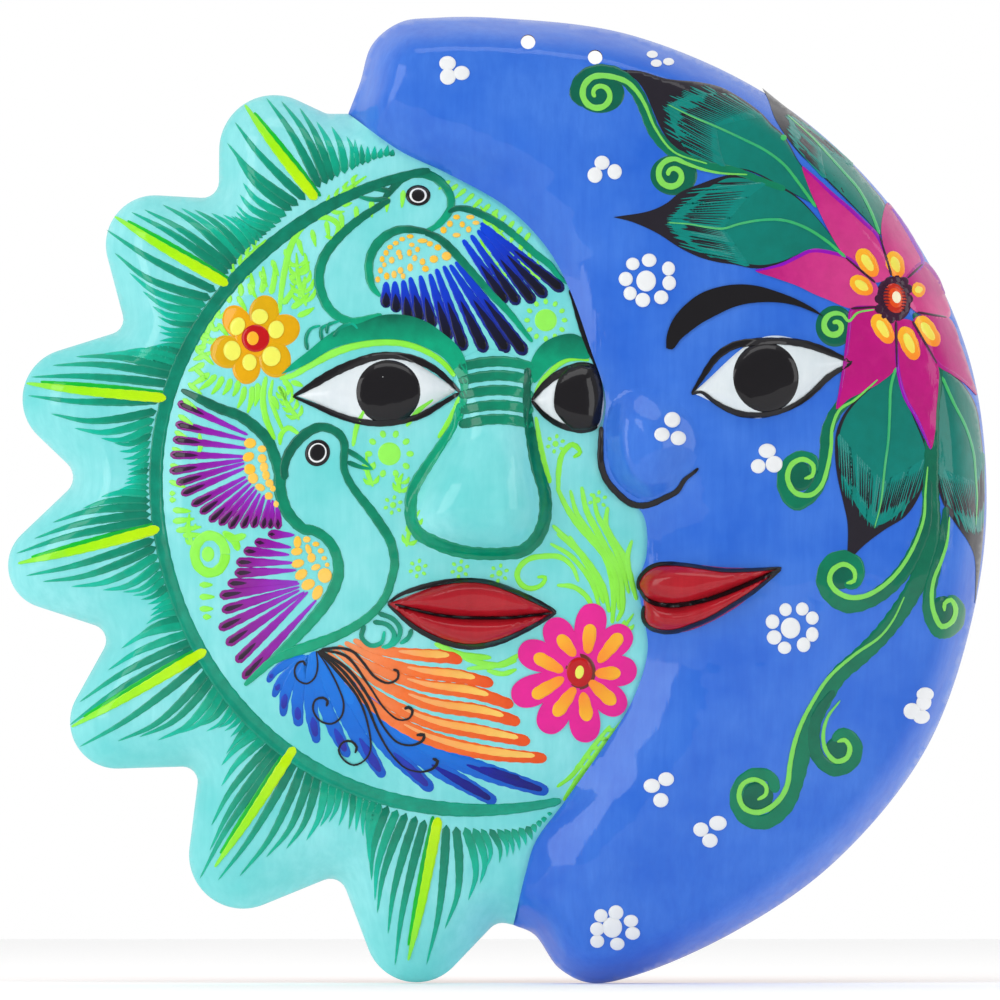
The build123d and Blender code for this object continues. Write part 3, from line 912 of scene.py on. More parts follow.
LIME_RAYS = [
    ((-55, 90), (-76.5, 118.5)), ((-81.5, 64.5), (-115.5, 85)), ((-100, 30.5), (-142, 35)),
    ((-102, -8.5), (-144.5, -19)), ((-88, -45), (-128.5, -68)), ((-61.5, -74), (-85.5, -110)),
    ((-18.5, -95), (-27.5, -138)),
]
FRINGE = [
    (-33, 101.5, -32, 105, 0), (-34.5, 101, -33.6, 106.3, 0), (-36.5, 100.5, -35.5, 105.4, 0),
    (-38, 100, -37.5, 106, 0), (-39.5, 99, -39.7, 106, 0), (-41, 98.5, -41.6, 106.6, 0),
    (-42.5, 98, -43.5, 108, 0), (-44, 97, -46, 109, 1), (-46, 96, -50.5, 112, 1),
    (-48, 95, -55, 113.5, 1), (-49.5, 94, -60, 117.5, 1), (-51, 93, -65.5, 119.5, 1.5),
    (-53, 92, -70, 120.5, 1), (-57, 88.5, -79.5, 113.3, -1), (-59, 87, -81.8, 107, -1.5),
    (-61, 85.5, -79, 102.5, -1.5), (-62.5, 84, -77, 95, -1.5), (-64, 82.5, -78, 91.5, -1.5),
    (-65.5, 81, -79, 88.5, -1.5), (-67, 80, -79.2, 86.5, -1), (-68.3, 78.7, -79.5, 85, -0.5),
    (-69.5, 77.5, -79.8, 83.8, 0), (-70.7, 76.3, -80.5, 85, 0.5), (-72, 75, -83, 85.5, 1),
    (-73.5, 73.7, -86.5, 86, 1), (-75, 72.3, -91.5, 87, 1.2), (-76.3, 71, -95.5, 87.5, 1.2),
    (-77.5, 69.5, -101, 88.5, 1.5), (-78.7, 68.2, -106.5, 87, 1.2), (-79.8, 66.8, -110.5, 86.3, 1),
    (-83.5, 61.7, -118, 81, -1), (-85, 59.6, -115.5, 74, -2.5), (-86.3, 57.6, -111, 68, -2.2),
    (-87.3, 55.8, -107, 62.5, -1.8), (-88.3, 54, -104, 58, -1.4), (-89.2, 52.3, -102.5, 55, -1),
    (-90, 50.6, -102.5, 52.3, -0.8), (-90.8, 49, -102, 50.2, -0.3), (-91.6, 47.4, -102, 47.6, 0.4),
    (-92.4, 45.6, -104.5, 45.6, 0.7), (-93.2, 43.8, -107.5, 45, 1), (-94, 42.1, -113, 44.6, 1),
    (-94.8, 40.5, -119, 43.8, 1.2), (-95.5, 38.8, -127, 43, 1.4), (-96.3, 37, -134, 40.4, 1.4),
    (-97.3, 34.6, -140.5, 36.9, 1), (-100, 29.8, -141.5, 31.3, -1.2), (-101, 26.7, -134.5, 25.8, -2.4),
    (-101.7, 24.4, -127.5, 21.5, -2.2), (-102.2, 22.3, -119.5, 18.5, -1.8),
    (-102.6, 20.3, -115.5, 17, -1.4), (-102.9, 18.2, -114, 14.6, -1), (-103.1, 16, -113, 12.3, -0.8),
    (-103.2, 13.8, -112, 10.7, -0.6), (-103.3, 11.6, -111.5, 8.9, -0.3), (-103.3, 9.5, -111.5, 7.6, 0),
    (-103.3, 7.4, -112, 6.2, 0), (-103.3, 5.5, -112.5, 4.9, 0.4), (-103.2, 3.6, -114, 3.1, 0.6),
    (-103.2, 1.8, -119.5, 0.9, 0.9), (-103.1, 0, -125, -2.5, 1.2), (-103, -1.9, -134, -6.7, 1.6),
    (-102.8, -3.9, -139.5, -11.5, 1.5), (-102.5, -6, -145, -16, 1.3), (-101.7, -11.3, -142, -22.7, -1),
    (-101.2, -13.5, -137, -24.5, -2), (-100.6, -15.7, -128.5, -26, -2.2), (-100, -17.9, -119, -27, -2),
    (-99.2, -20.1, -113, -27.6, -1.7), (-98.4, -22.3, -110, -28.6, -1.3),
    (-97.5, -24.5, -107.5, -29.8, -0.9), (-96.6, -26.6, -105.5, -31.2, -0.5),
    (-95.7, -28.7, -104.5, -33, 0), (-94.8, -30.8, -104.8, -34.8, 0.5),
    (-93.8, -32.8, -106, -37.2, 0.8), (-92.7, -34.8, -108.5, -40.8, 1),
    (-91.6, -36.8, -113.5, -44.5, 1.6), (-90.6, -38.9, -117.5, -51, 1.3),
    (-89.6, -41, -126, -60.5, 1.4), (-88.7, -43, -129, -67.4, 1.3), (-86.9, -47, -126, -74, -1.4),
    (-85.3, -49, -114.5, -72.3, -3), (-83.8, -50.9, -108, -71, -2.8), (-82.3, -52.7, -102.5, -72, -2.8),
    (-80.8, -54.4, -96.5, -70, -2.4), (-79.3, -56.1, -91, -67.8, -1.8),
    (-77.8, -57.8, -88, -69.3, -1.6), (-76.3, -59.4, -84.5, -68.3, -1.2),
    (-74.8, -61, -82.5, -69.2, -0.8), (-73.3, -62.6, -80.8, -71, -0.3),
    (-71.8, -64.1, -80.2, -73.2, 0.4), (-70.3, -65.6, -82, -76, 0.8), (-68.8, -67.1, -83.5, -79.6, 1),
    (-67.3, -68.5, -83.5, -85.7, 1.2), (-65.8, -70, -86.5, -97.5, 1.6), (-64.4, -71.4, -87, -105, 1.6),
    (-63, -72.6, -90, -113.5, 1.4), (-59.8, -75.6, -84.5, -114, -1.2), (-57.8, -77, -78, -112.7, -2.2),
    (-55.8, -78.4, -70, -107, -2.4), (-53.8, -79.6, -64, -104.5, -2), (-51.7, -80.8, -58, -102, -1.6),
    (-49.6, -81.9, -53.8, -97.8, -1.2), (-47.6, -83, -51.3, -96.6, -1),
    (-45.6, -84, -48.3, -97.6, -0.6), (-43.6, -85, -45.3, -98.7, -0.3), (-41.6, -86, -43.2, -99.3, 0),
    (-39.6, -87, -41, -100.7, 0.5), (-37.6, -87.9, -39.2, -104.5, 0.8), (-35.6, -88.8, -39, -109, 1.2),
    (-33.2, -89.8, -38.5, -114, 1.5), (-30.4, -91, -37.5, -120, 1.6), (-27.6, -92, -36.8, -123.7, 1.4),
    (-24.8, -92.9, -33.6, -130, 1.2), (-22.2, -94, -31.5, -139.5, 1), (-15.8, -95.5, -22, -139.3, -1.4),
    (-13, -96, -16.5, -128.5, -2.6), (-10.6, -96.2, -9.5, -120, -2.6), (-8.2, -96.5, -6, -115, -2.2),
    (-5.9, -96.7, -4, -110, -1.8), (-3.6, -96.8, -0.2, -108.7, -1.4), (-1.4, -96.8, 2, -107, -1.2),
    (0.8, -96.8, 3.9, -106.2, -0.8), (3, -96.7, 5.8, -105, -0.6), (5.1, -96.4, 7.8, -103.5, -0.4),
    (7.2, -96, 9.6, -101.8, -0.2), (9.2, -95.3, 10.7, -99.6, 0), (11.2, -94.5, 12, -98, 0),
    (13.1, -93.6, 13.2, -96.6, 0), (15, -92.6, 14.8, -94.6, 0),
]


def bowed(base, tip, bow):
    """Line from base to tip that swings to one side by the bow."""
    a, b = np.array(base, float), np.array(tip, float)
    side = np.array([-(b - a)[1], (b - a)[0]]) / max(np.hypot(*(b - a)), 1e-6)
    return [
        tuple(a),
        tuple(a + (b - a) * 0.33 - side * bow * 0.8),
        tuple(a + (b - a) * 0.66 - side * bow),
        tuple(b),
    ]


fringe_light = coat("fringe_light", SUN, GREEN_STROKE, 1)
fringe_deep = coat("fringe_deep", SUN, DEEP_STROKE, 1)
for number, (bx, bz, tx, tz, bow) in enumerate(FRINGE):
    length = math.hypot(tx - bx, tz - bz)
    chosen = fringe_deep if length > 30 or number % 5 == 0 else fringe_light
    widths = [2.0, 2.4, 2.1, 1.5, 0.9, 0.35] if length < 16 else [2.6, 3.0, 2.6, 2.0, 1.3, 0.4]
    near = min(0.4, 1.8 / length)
    base = (bx + (tx - bx) * near, bz + (tz - bz) * near)
    chosen.stroke(bowed(base, (tx, tz), bow), widths, 0.1, step=1.4)
for base, tip in LIME_RAYS:
    a, b = np.array(base, float), np.array(tip, float)
    side = np.array([-(b - a)[1], (b - a)[0]]) / np.hypot(*(b - a))
    coat("ray_green", SUN, RAY_GREEN, 2).stroke(
        [tuple(a - side * 1.6), tuple(b * 0.9 + a * 0.1 - side * 0.9)], [1.2, 2.2, 2.0, 0.8]
    )
    coat("ray_lime", SUN, RAY_LIME, 3).stroke(
        [base, tuple(a * 0.4 + b * 0.6 + side * 0.4), tip], [3.2, 3.6, 3.2, 2.8, 2.2, 0.8], 0.2
    )


# Sun's face: nose, brows, eyes and lips

NOSE_EDGE = [
    (8.4, 39.6), (8.1, 28), (9.7, 16.6), (11.1, 9.7), (13.4, 2), (13.4, -5.2), (12.2, -9.3),
    (10.2, -12.5), (6.5, -15.3), (1.9, -16), (-4.9, -16.1), (-10.4, -15.6), (-15.5, -14.3),
    (-20.1, -12.4), (-24.2, -10.1), (-26.3, -6.5), (-26.7, -1.9), (-26.3, 2.3), (-24.6, 5.9),
    (-21, 11.4), (-17.3, 17), (-14.1, 22), (-12, 29),
]
sun_green = coat("sun_green", SUN, OUTLINE_GREEN, 3)
sun_green.breadth = 1.2
sun_dark_green = coat("sun_dark_green", SUN, DEEP_STROKE, 4)
sun_lime = coat("sun_lime", SUN, LIME, 1)
sun_black = coat("sun_black", SUN, BLACK, 5)
sun_green.stroke(NOSE_EDGE, [2.0, 2.4, 3.2, 3.4, 3.6, 3.2, 3.6, 3.4, 3.2, 2.4, 1.6], 0.16)
sun_lime.stroke([(10.7, 24.9), (12.5, 14.3), (15, 5)], [1.2, 2, 1.6])
sun_lime.stroke([(-12.2, 31), (-14.5, 25), (-18.5, 18.5)], [1.0, 2, 1.2])
for middle in (41, 36.8, 32.4, 27.9, 23.7):
    line = [
        (-12.4, middle - 1.2), (-5, middle + 0.2), (0, middle + 0.5), (5, middle), (10, middle - 1.3)
    ]
    sun_green.stroke(line, [2.4, 2.8, 2.8, 2.8, 2.4], 0.14, start=0.2, end=0.7)
BROW_TOP = [
    (-65.5, 37.6), (-62, 41), (-57.6, 44.4), (-52.3, 48.8), (-47.5, 51.7), (-42.6, 52.7), (-35.3, 55.3),
    (-28.1, 55.3), (-21.8, 53.2), (-16.9, 49.8), (-13, 46.4), (-10.6, 42.5), (-9.6, 36.7),
    (-10.1, 29.4), (-11.6, 23.1),
]
BROW_LOW = [
    (-13.2, 23.1), (-11.9, 29.4), (-11.9, 34.3), (-13.8, 38.6), (-16.9, 42.5), (-21.8, 45.4),
    (-28.1, 47.6), (-34.9, 48.1), (-42.6, 47.3), (-49.9, 45.4), (-57.2, 41), (-62, 38.8), (-65.5, 37.6),
]
# Left brow band: painted shade, darker along its top edge and lighter below, standing in for the shading of
# a brow ridge that the clay doesn't have
sun_green.patch(
    joined(spline(BROW_TOP), spline(BROW_LOW)),
    False,
    start=0.1,
    end=0.9,
    towards=((-30, 55), (-30, 47)),
)
sun_lime.stroke(
    [
        (-66, 36.3), (-62, 37.3), (-57.2, 40.1), (-49.9, 43.9), (-42.6, 46.3), (-34.9, 47.2),
        (-28.1, 46.6), (-21.8, 44.3), (-16.9, 41), (-13.5, 37),
    ],
    [1.6, 2.6, 2.4, 2.0, 1.6],
)
# Right brow band: painted shade, darker at its top and lighter below, like the left brow
sun_green.patch(
    joined(
        spline([(9.3, 38), (9.3, 41.4), (12.5, 46.5), (17.5, 49.2), (22.1, 49.7), (24.6, 48.6)]),
        spline([(24.6, 48.6), (26.8, 42.6), (19.8, 42.3), (14.8, 39.6), (10.2, 35), (9.3, 38)]),
    ),
    False,
    start=0.1,
    end=0.8,
    towards=((18, 50), (18, 42)),
)
sun_lime.stroke(
    [(10.4, 31.3), (12, 35), (15.5, 38.8), (19.4, 41.6), (23.1, 42.3), (26.7, 41.9)], [1.0, 1.8, 1.2]
)
sun_black.stroke(
    [
        (-61.8, 31.1), (-57.2, 33.8), (-49.9, 38.1), (-42.6, 41.3), (-36.8, 43), (-31, 43.2),
        (-25.2, 42), (-19.8, 39.3), (-15.5, 35.8), (-12, 32.2),
    ],
    [0.8, 2.6, 2.8, 2.6, 2.2, 2.4, 2.0, 1.0],
)
sun_black.stroke(
    [
        (-62, 31), (-54.7, 28), (-48.4, 25.3), (-41.6, 23.4), (-34.9, 22.9), (-29, 23.7), (-23.2, 25.4),
        (-18.4, 28.2), (-12.2, 32),
    ],
    [0.8, 1.8, 2.0, 2.0, 2.0, 1.2],
)
sun_black.dot((-33.4, 32.3), 19.6, rise=0.25)
sun_black.stroke(
    [(9.5, 29.9), (13, 34.2), (17.5, 37.7), (22.1, 39.8), (25.4, 40.3), (29.2, 39)],
    [1.0, 2.2, 2.4, 2.2, 2.0],
)
sun_black.stroke(
    [(9.5, 29.7), (13, 25.7), (17.5, 22.6), (22.1, 21.2), (25.4, 20.9), (29.2, 22)],
    [1.0, 1.6, 1.8, 2.0, 1.6],
)
sun_black.patch(
    joined(
        spline([(20.5, 40), (17.4, 36), (16.2, 31), (16.4, 27), (18.4, 24), (21.5, 21)]),
        spline(
            [
                (21.5, 21), (25.4, 21), (29.3, 22.4), (30.6, 28), (30.8, 33), (29, 39), (25.4, 40.6),
                (20.5, 40),
            ]
        ),
    ),
    False,
    rise=0.16,
)
sun_black.stroke(
    [
        (-33.6, -31), (-30.2, -28.5), (-23.3, -26), (-16.4, -24.5), (-10.4, -24), (-4.9, -24.3),
        (-0.3, -25.5), (6.6, -28.3), (12, -30.8), (16.8, -33.6),
    ],
    [0.8, 1.6, 1.7, 1.5, 1.6, 1.7, 1.2],
)
sun_black.stroke(
    [
        (-33.6, -31.2), (-30.6, -34), (-25.6, -38.1), (-18.7, -41.8), (-11.8, -43.7), (-7.2, -43.9),
        (-0.3, -42.5), (6.6, -39.5), (12.4, -36.4), (16.8, -33.7),
    ],
    [0.8, 1.5, 1.8, 1.9, 1.8, 1.5, 1.0],
)
sun_black.stroke(
    [(-31.5, -31.2), (-18.7, -34.4), (-11.8, -35.1), (-2.6, -35.3), (4.2, -35.1), (15, -33.9)],
    [0.6, 1, 0.7],
)
sun_black.stroke(
    [(20.9, 63), (22.4, 58.9), (23.7, 54.3), (25.1, 49.7), (27, 44.6), (28.6, 41.4), (29.8, 37)],
    [1.4, 2, 2, 2, 1.6],
)

# Bird above the eye

sun_green.stroke(
    [
        (-35, 90), (-32.7, 92.6), (-29.5, 96.1), (-25, 97.8), (-19.3, 96.4), (-15.1, 91.6),
        (-14.8, 87.5), (-16.7, 84.3), (-19.3, 81.8), (-22.5, 80.2),
    ],
    [1.4, 2.2, 2.4, 2.4, 2.2, 2.0, 1.2],
)
sun_green.stroke([(-32.5, 92.3), (-38, 93.4), (-45, 92)], [1.6, 1.5, 0.6])
sun_green.stroke([(-33.5, 90.2), (-38.5, 90), (-44.6, 91.7)], [1.4, 1.3, 0.5])
sun_green.stroke(
    [
        (-32.9, 90), (-36.8, 87.6), (-41.2, 84.7), (-45.5, 81.3), (-49.4, 77.4), (-52.3, 73.5),
        (-53.8, 69.6), (-54.2, 65.8), (-53.3, 61.4), (-51.3, 57.5), (-47.9, 54.6), (-44.1, 53.4),
        (-40.2, 54.1), (-35.3, 55.3),
    ],
    [1.6, 2.2, 2.6, 2.8, 2.6, 2.2, 1.6],
)
sun_green.stroke(
    [
        (-20.5, 80), (-23.2, 80.5), (-26.6, 81), (-30.5, 80.8), (-34.4, 78.9), (-37.3, 75.9),
        (-39, 72.1), (-39.2, 68.2), (-38.2, 63.8), (-35.8, 60.9),
    ],
    [1.4, 2.0, 2.4, 2.6, 2.4, 2.2, 1.0],
)
sun_green.stroke(
    [
        (-22.8, 80.3), (-18.4, 78.4), (-14.5, 75), (-10.6, 70.6), (-6.3, 65.8), (-2.4, 61.4), (1, 58),
        (4.4, 54.1), (7.3, 50.3), (9.7, 47.3),
    ],
    [1.6, 2.2, 2.2, 2.0, 2.0, 1.6, 1.0],
)
sun_green.stroke(
    [
        (-15.5, 86.1), (-13, 87.3), (-8.7, 86.8), (-3.8, 84.7), (1, 81.8), (5.9, 77.9), (10.2, 74),
        (15, 70.3), (17.5, 67.1), (20.3, 64.8),
    ],
    [1.2, 2.0, 2.2, 2.0, 2.0, 1.8, 1.0],
)
sun_black.dot((-24.5, 91.2), 7.6, 6.4, rise=0.15)
sun_white = coat("sun_white", SUN, WHITE_PAINT, 7)
sun_white.dot((-24.5, 91.2), 5.6, 4.8, rise=0.08)
sun_pupil = coat("sun_pupil", SUN, BLACK, 9)
sun_pupil.dot((-24.5, 91.2), 4.2, 3.9, rise=0.1)


def feathers(rows, heart, feather, widths, begin=0.4, breadth=0.74):
    """Fan of feathers: a wide stroke for each, and a darker heart from a share of its length to its tip."""
    for bx, bz, tx, tz in rows:
        a, b = np.array((bx, bz), float), np.array((tx, tz), float)
        feather.stroke([(bx, bz), tuple(a * 0.5 + b * 0.5), (tx, tz)], widths, 0.12)
        heart_start, heart_end = a * (1 - begin) + b * begin, a * 0.03 + b * 0.97
        slim = [w * breadth for w in widths[len(widths) // 2 :]]
        heart.stroke([tuple(heart_start), tuple(heart_end)], [0.4] + slim, 0.14)


feather_blue = coat("upper_wing_blue", SUN, FEATHER_BLUE, 1)
feather_dark = coat("upper_wing_dark", SUN, FEATHER_DARK, 2)
feathers(
    [
        (-34.1, 65.3, -34.1, 57.5), (-31.5, 65.5, -31, 56.1), (-29, 65.8, -27.3, 53.6),
        (-26.9, 66.7, -23.7, 53.4), (-23.9, 67.2, -20.1, 51.2), (-21, 67.7, -15.2, 47.6),
        (-19.1, 69.2, -10.6, 44.7), (-16.9, 70.1, -4.3, 44.2), (-15, 70.4, 2.5, 44.2),
        (-13.3, 71.3, 7.8, 43.5),
    ],
    feather_dark,
    feather_blue,
    [1.5, 2.8, 3.8, 4.4],
)
feathers(
    [
        (-11.1, 77.9, 2, 59), (-8.7, 79.3, 5.6, 58.5), (-6.7, 80.8, 10.2, 59), (-5.8, 81.8, 13.9, 60.7),
        (-5.8, 82.9, 19, 62.6),
    ],
    feather_dark,
    feather_blue,
    [1.5, 2.6, 3.4, 4.0],
)
ochre = coat("ochre_dabs", SUN, OCHRE, 3)
for x, z, width, tall in [
    (-36.6, 66, 1.6, 2.0), (-35.8, 68.7, 1.6, 2.0), (-34.6, 70.4, 1.4, 1.6), (-35.3, 72.1, 1.6, 2.0),
    (-34.1, 74, 1.7, 1.9), (-32.9, 75.7, 1.8, 1.6), (-31.2, 76.9, 1.9, 1.5), (-29.3, 78.1, 1.9, 1.5),
    (-26.9, 78.9, 2.2, 1.4), (-23.2, 77.6, 3.2, 1.5), (-21, 76.7, 2, 1.8), (-16, 73, 3, 2.8),
    (-30.3, 74, 1.8, 2), (-27.1, 74, 1.6, 2.2), (-24.7, 75, 1.6, 1.8), (-26.4, 76.4, 1.8, 1.4),
    (-19.8, 72.1, 2.7, 2.4), (-32.4, 71.8, 1.8, 2.2), (-29.8, 72.8, 1.5, 1.9), (-33.9, 67, 1.8, 2.3),
    (-31.7, 67.5, 1.7, 2.4), (-29.8, 68.7, 1.8, 2.2), (-29, 67, 1.5, 1.9), (-26.9, 69.6, 1.8, 2.5),
    (-23.2, 71.3, 1.8, 2.2), (-22.3, 69.2, 2.2, 2), (-16.9, 80.8, 2, 2.2), (-15, 82.7, 1.9, 2.1),
    (-13, 84.7, 2.2, 1.6), (-11.3, 82.5, 1.7, 2), (-9.4, 81, 1.7, 2), (-8.9, 84.7, 2.6, 1.5),
    (-7.2, 83, 2.2, 1.4), (-13, 79.3, 2.5, 1.5), (-18.6, 75.6, 2.2, 2), (-25.5, 72.4, 1.6, 2),
]:
    ochre.dot((x, z), width, tall, rise=0.2, shade=random.random())
for curl in (
    [(-57.6, 44.9), (-58.1, 48.3), (-56.7, 51.2), (-53.8, 52.2)],
    [(-53.3, 47.8), (-53.5, 51.2), (-50.4, 52.9)],
    [(-51.8, 49.8), (-51.6, 52.2), (-47.9, 53.6)],
    [(-49.9, 48.8), (-47.5, 51.7), (-44.1, 52.7), (-42.6, 51.2)],
):
    sun_dark_green.stroke(curl, [1.4, 1.2, 0.8])

# Bird beside the nose: head, body, wings

sun_green.stroke(
    [
        (-95.5, 33), (-90, 30.3), (-84, 27.4), (-78, 25.2), (-73.5, 22), (-69.5, 17.8), (-67.3, 12.5),
        (-66, 8), (-65.8, 3), (-64.5, -2), (-62.2, -5.6), (-58.5, -8.8), (-56.3, -9), (-53.1, -10.6),
        (-50.4, -13.4), (-48.8, -17), (-48.3, -21.6), (-49.4, -25.7), (-51.8, -30.3), (-55.4, -34.9),
        (-59.6, -39.6), (-66, -46), (-76.5, -55.5),
    ],
    [1.2, 2.6, 2.8, 3.0, 3.0, 3.2, 3.4, 3.0, 2.6, 2.8, 3.2, 3.2, 3.0, 2.6, 2.0, 1.2],
    0.16,
)
sun_green.stroke(
    [
        (-64.4, 6), (-64.6, 10), (-63.2, 14), (-60.6, 17.6), (-57.5, 20.3), (-54, 21.8), (-51, 21.4),
        (-48.1, 19.7), (-46.6, 17), (-46.7, 12.8), (-46.7, 9.6), (-45.3, 5.9), (-42.6, 1.8),
        (-39.3, -2.3), (-35.7, -7.4), (-32.9, -12), (-31.8, -16.1), (-31.5, -19.3), (-32.5, -23.9),
        (-33.8, -28), (-36.1, -31.7), (-39.3, -34.9), (-43.9, -38.1), (-49.4, -40.9), (-55.4, -43.2),
        (-62, -45.5), (-68, -48), (-76, -54.6),
    ],
    [2.2, 2.6, 2.8, 2.4, 2.2, 2.0, 2.2, 2.6, 2.6, 2.4, 2.2, 2.2, 2.4, 2.6, 3.0, 2.8, 2.0, 1.0],
    0.16,
)
sun_green.stroke([(-46.2, 15.1), (-42, 12.6), (-38.2, 9.4)], [1.5, 1.4, 0.5])
sun_green.stroke([(-45.8, 11.4), (-41.5, 9.8), (-38, 9.2)], [1.4, 1.2, 0.5])
sun_black.dot((-54.6, 14.1), 7.6, 8.3, -25, rise=0.15)
sun_white.dot((-54.6, 14.1), 5.8, 6.4, -25, rise=0.08)
sun_pupil.dot((-54.6, 14.2), 4.8, 5.4, -25, rise=0.1)
purple = coat("lower_wing_purple", SUN, PURPLE, 1)
purple_dark = coat("lower_wing_dark", SUN, PURPLE_DARK, 2)
feathers(
    [
        (-75.5, 19.5, -96.5, 29.2), (-76, 18, -97.2, 22.8), (-76, 15.5, -98, 18.2),
        (-76.5, 13, -98.8, 13.6), (-76.5, 12, -99, 8.6), (-76.5, 11, -97, 5), (-76.5, 9.5, -95.5, 1.7),
        (-76, 7, -92.4, -1.6), (-75.5, 6, -89.8, -4), (-74.5, 5, -87, -6.5), (-73.5, 4, -84, -7.5),
        (-72.8, 3, -81, -8.6), (-71.8, 2, -77.2, -8.5), (-70.5, 1.5, -74, -8.4), (-69, 0.5, -71, -8.6),
        (-68, 0, -68.8, -8.6), (-66.6, -0.5, -66.4, -8.8),
    ],
    purple_dark,
    purple,
    [0.9, 1.6, 2.2, 2.8, 3.0],
    0.62,
    0.6,
)
feathers(
    [
        (-61.5, -10.5, -69.5, -10.2), (-62.5, -14.2, -73.5, -12.5), (-63, -16.4, -76.8, -15.2),
        (-62, -18.8, -79, -18.6), (-61, -21, -79.5, -21.9), (-60.5, -24.5, -81.6, -25),
        (-60, -25, -84, -28.7), (-60, -26, -83.3, -33.2), (-60, -27, -84.2, -38.6),
        (-58.5, -27.5, -82, -43.3), (-57.5, -27.5, -79, -48.5), (-55, -30, -77, -53.5),
    ],
    purple_dark,
    purple,
    [0.8, 1.7, 2.6, 3.2, 3.4],
    0.72,
    0.5,
)
for x, z, width, tall, turn in [
    (-74.8, 17, 3.8, 3.2, 0), (-71.2, 15.3, 2.8, 2.2, 0), (-75.3, 12.9, 3.8, 2.8, 25),
    (-71.2, 12.4, 2.8, 2.8, 0), (-74.9, 9.2, 3.6, 3.4, 0), (-70.6, 9.8, 2.6, 3.2, 0),
    (-73.9, 6.5, 3.2, 3.4, 0), (-70, 7.4, 2.4, 3, 0), (-69, 5, 2.6, 2.6, 0),
    (-71.8, 3.8, 3.2, 2.2, -25), (-67.9, 3.4, 2, 2, 0), (-69.2, 1.2, 2.6, 2.4, 0),
    (-66.9, -1.2, 2, 2.2, 0), (-60.6, -12.6, 2.4, 3.8, 0), (-57.8, -11.8, 2.4, 2, 0),
    (-55.1, -13.2, 2.2, 1.6, 0), (-60.8, -15.4, 3.6, 2.4, 10), (-57.3, -14.8, 1.8, 3.4, 20),
    (-53.6, -15.2, 2, 1.7, 0), (-56.4, -17.3, 2.6, 3, 0), (-52.6, -17.4, 1.8, 1.4, 0),
    (-60.5, -19, 4, 2.6, 15), (-55.1, -20.1, 3, 1.9, 20), (-51.7, -19.4, 1.5, 1.5, 0),
    (-59.5, -22.3, 4.2, 3, 35), (-52.4, -22.6, 4.4, 4.6, 0), (-57.4, -25.3, 4.4, 3.2, 25),
    (-54.6, -27.7, 3, 4.8, -25),
]:
    ochre.dot((x, z), width, tall, turn, rise=0.22, shade=random.random())

# Tail of the bird: blue feathers, orange feathers and black curls

tail_blue = coat("tail_blue", SUN, TAIL_BLUE, 1)
tail_tip = coat("tail_tip", SUN, TAIL_TIP, 2)
tail_navy = coat("tail_navy", SUN, TAIL_NAVY, 2)
tail_orange = coat("tail_orange", SUN, ORANGE, 1)
tail_amber = coat("tail_amber", SUN, AMBER, 2)
BLUE_TAIL = [
    ([(-58, -46.8), (-64, -49), (-68, -52), (-69.5, -54.6)], [1.6, 2.8, 2.6, 1.8], tail_tip),
    ([(-58, -47), (-62.5, -51), (-66, -55), (-67.8, -59)], [1.6, 3.0, 3.0, 1.8], tail_tip),
    ([(-57, -46.5), (-61.5, -52), (-64.2, -58), (-65, -64.8)], [1.8, 3.4, 3.4, 2.0], tail_tip),
    ([(-57, -46.5), (-59.5, -53), (-60.6, -60), (-60.3, -67.8)], [2.0, 3.2, 3.8, 3.0], tail_tip),
    ([(-56.3, -46), (-57, -54), (-56.4, -63), (-54.8, -72.8)], [2.0, 2.6, 4.0, 4.0, 2.4], tail_tip),
    ([(-55.8, -46), (-54.5, -55), (-51, -65), (-45.4, -77)], [2.0, 3.0, 4.2, 4.4, 2.4], tail_tip),
    ([(-55, -45.8), (-50.5, -56), (-44, -68), (-34.8, -83)], [2.0, 4.0, 4.8, 5.0, 2.8], tail_tip),
    ([(-54.6, -45.8), (-46.5, -56.5), (-37, -70), (-20.2, -87)], [2.0, 3.4, 4.8, 5.2, 3.4], tail_tip),
    (
        [(-54.4, -45.7), (-42.5, -57.5), (-29.5, -72.8), (-1.2, -90.6)],
        [2.0, 3.4, 4.8, 5.2, 3.4],
        tail_navy,
    ),
    (
        [(-54.2, -45.6), (-39.5, -60), (-25, -72.6), (-8, -80), (14.5, -87.4)],
        [1.8, 3.0, 4.8, 5.2, 5.4, 3.6],
        tail_navy,
    ),
    ([(-33, -66.5), (-22, -74.5), (-6, -80), (8, -84)], [1.0, 3.0, 3.2, 1.6], tail_navy),
]
for line, widths, tip in BLUE_TAIL:
    tail_blue.stroke(line, [w * 1.08 for w in widths], 0.12)
    sampled = spline(line, step=2.0)
    heart = sampled[int(len(sampled) * 0.68) : -1]
    tip.stroke(
        [tuple(p) for p in heart[:: max(1, len(heart) // 4)]] + [tuple(heart[-1])],
        [0.8, 2.6, max(widths) * 0.62, 1.8],
        0.12,
    )
tail_blue.patch(
    [(-55.5, -45.3), (-58.5, -48.5), (-58, -54), (-52, -58), (-44, -61), (-44.5, -57), (-49, -51)]
)
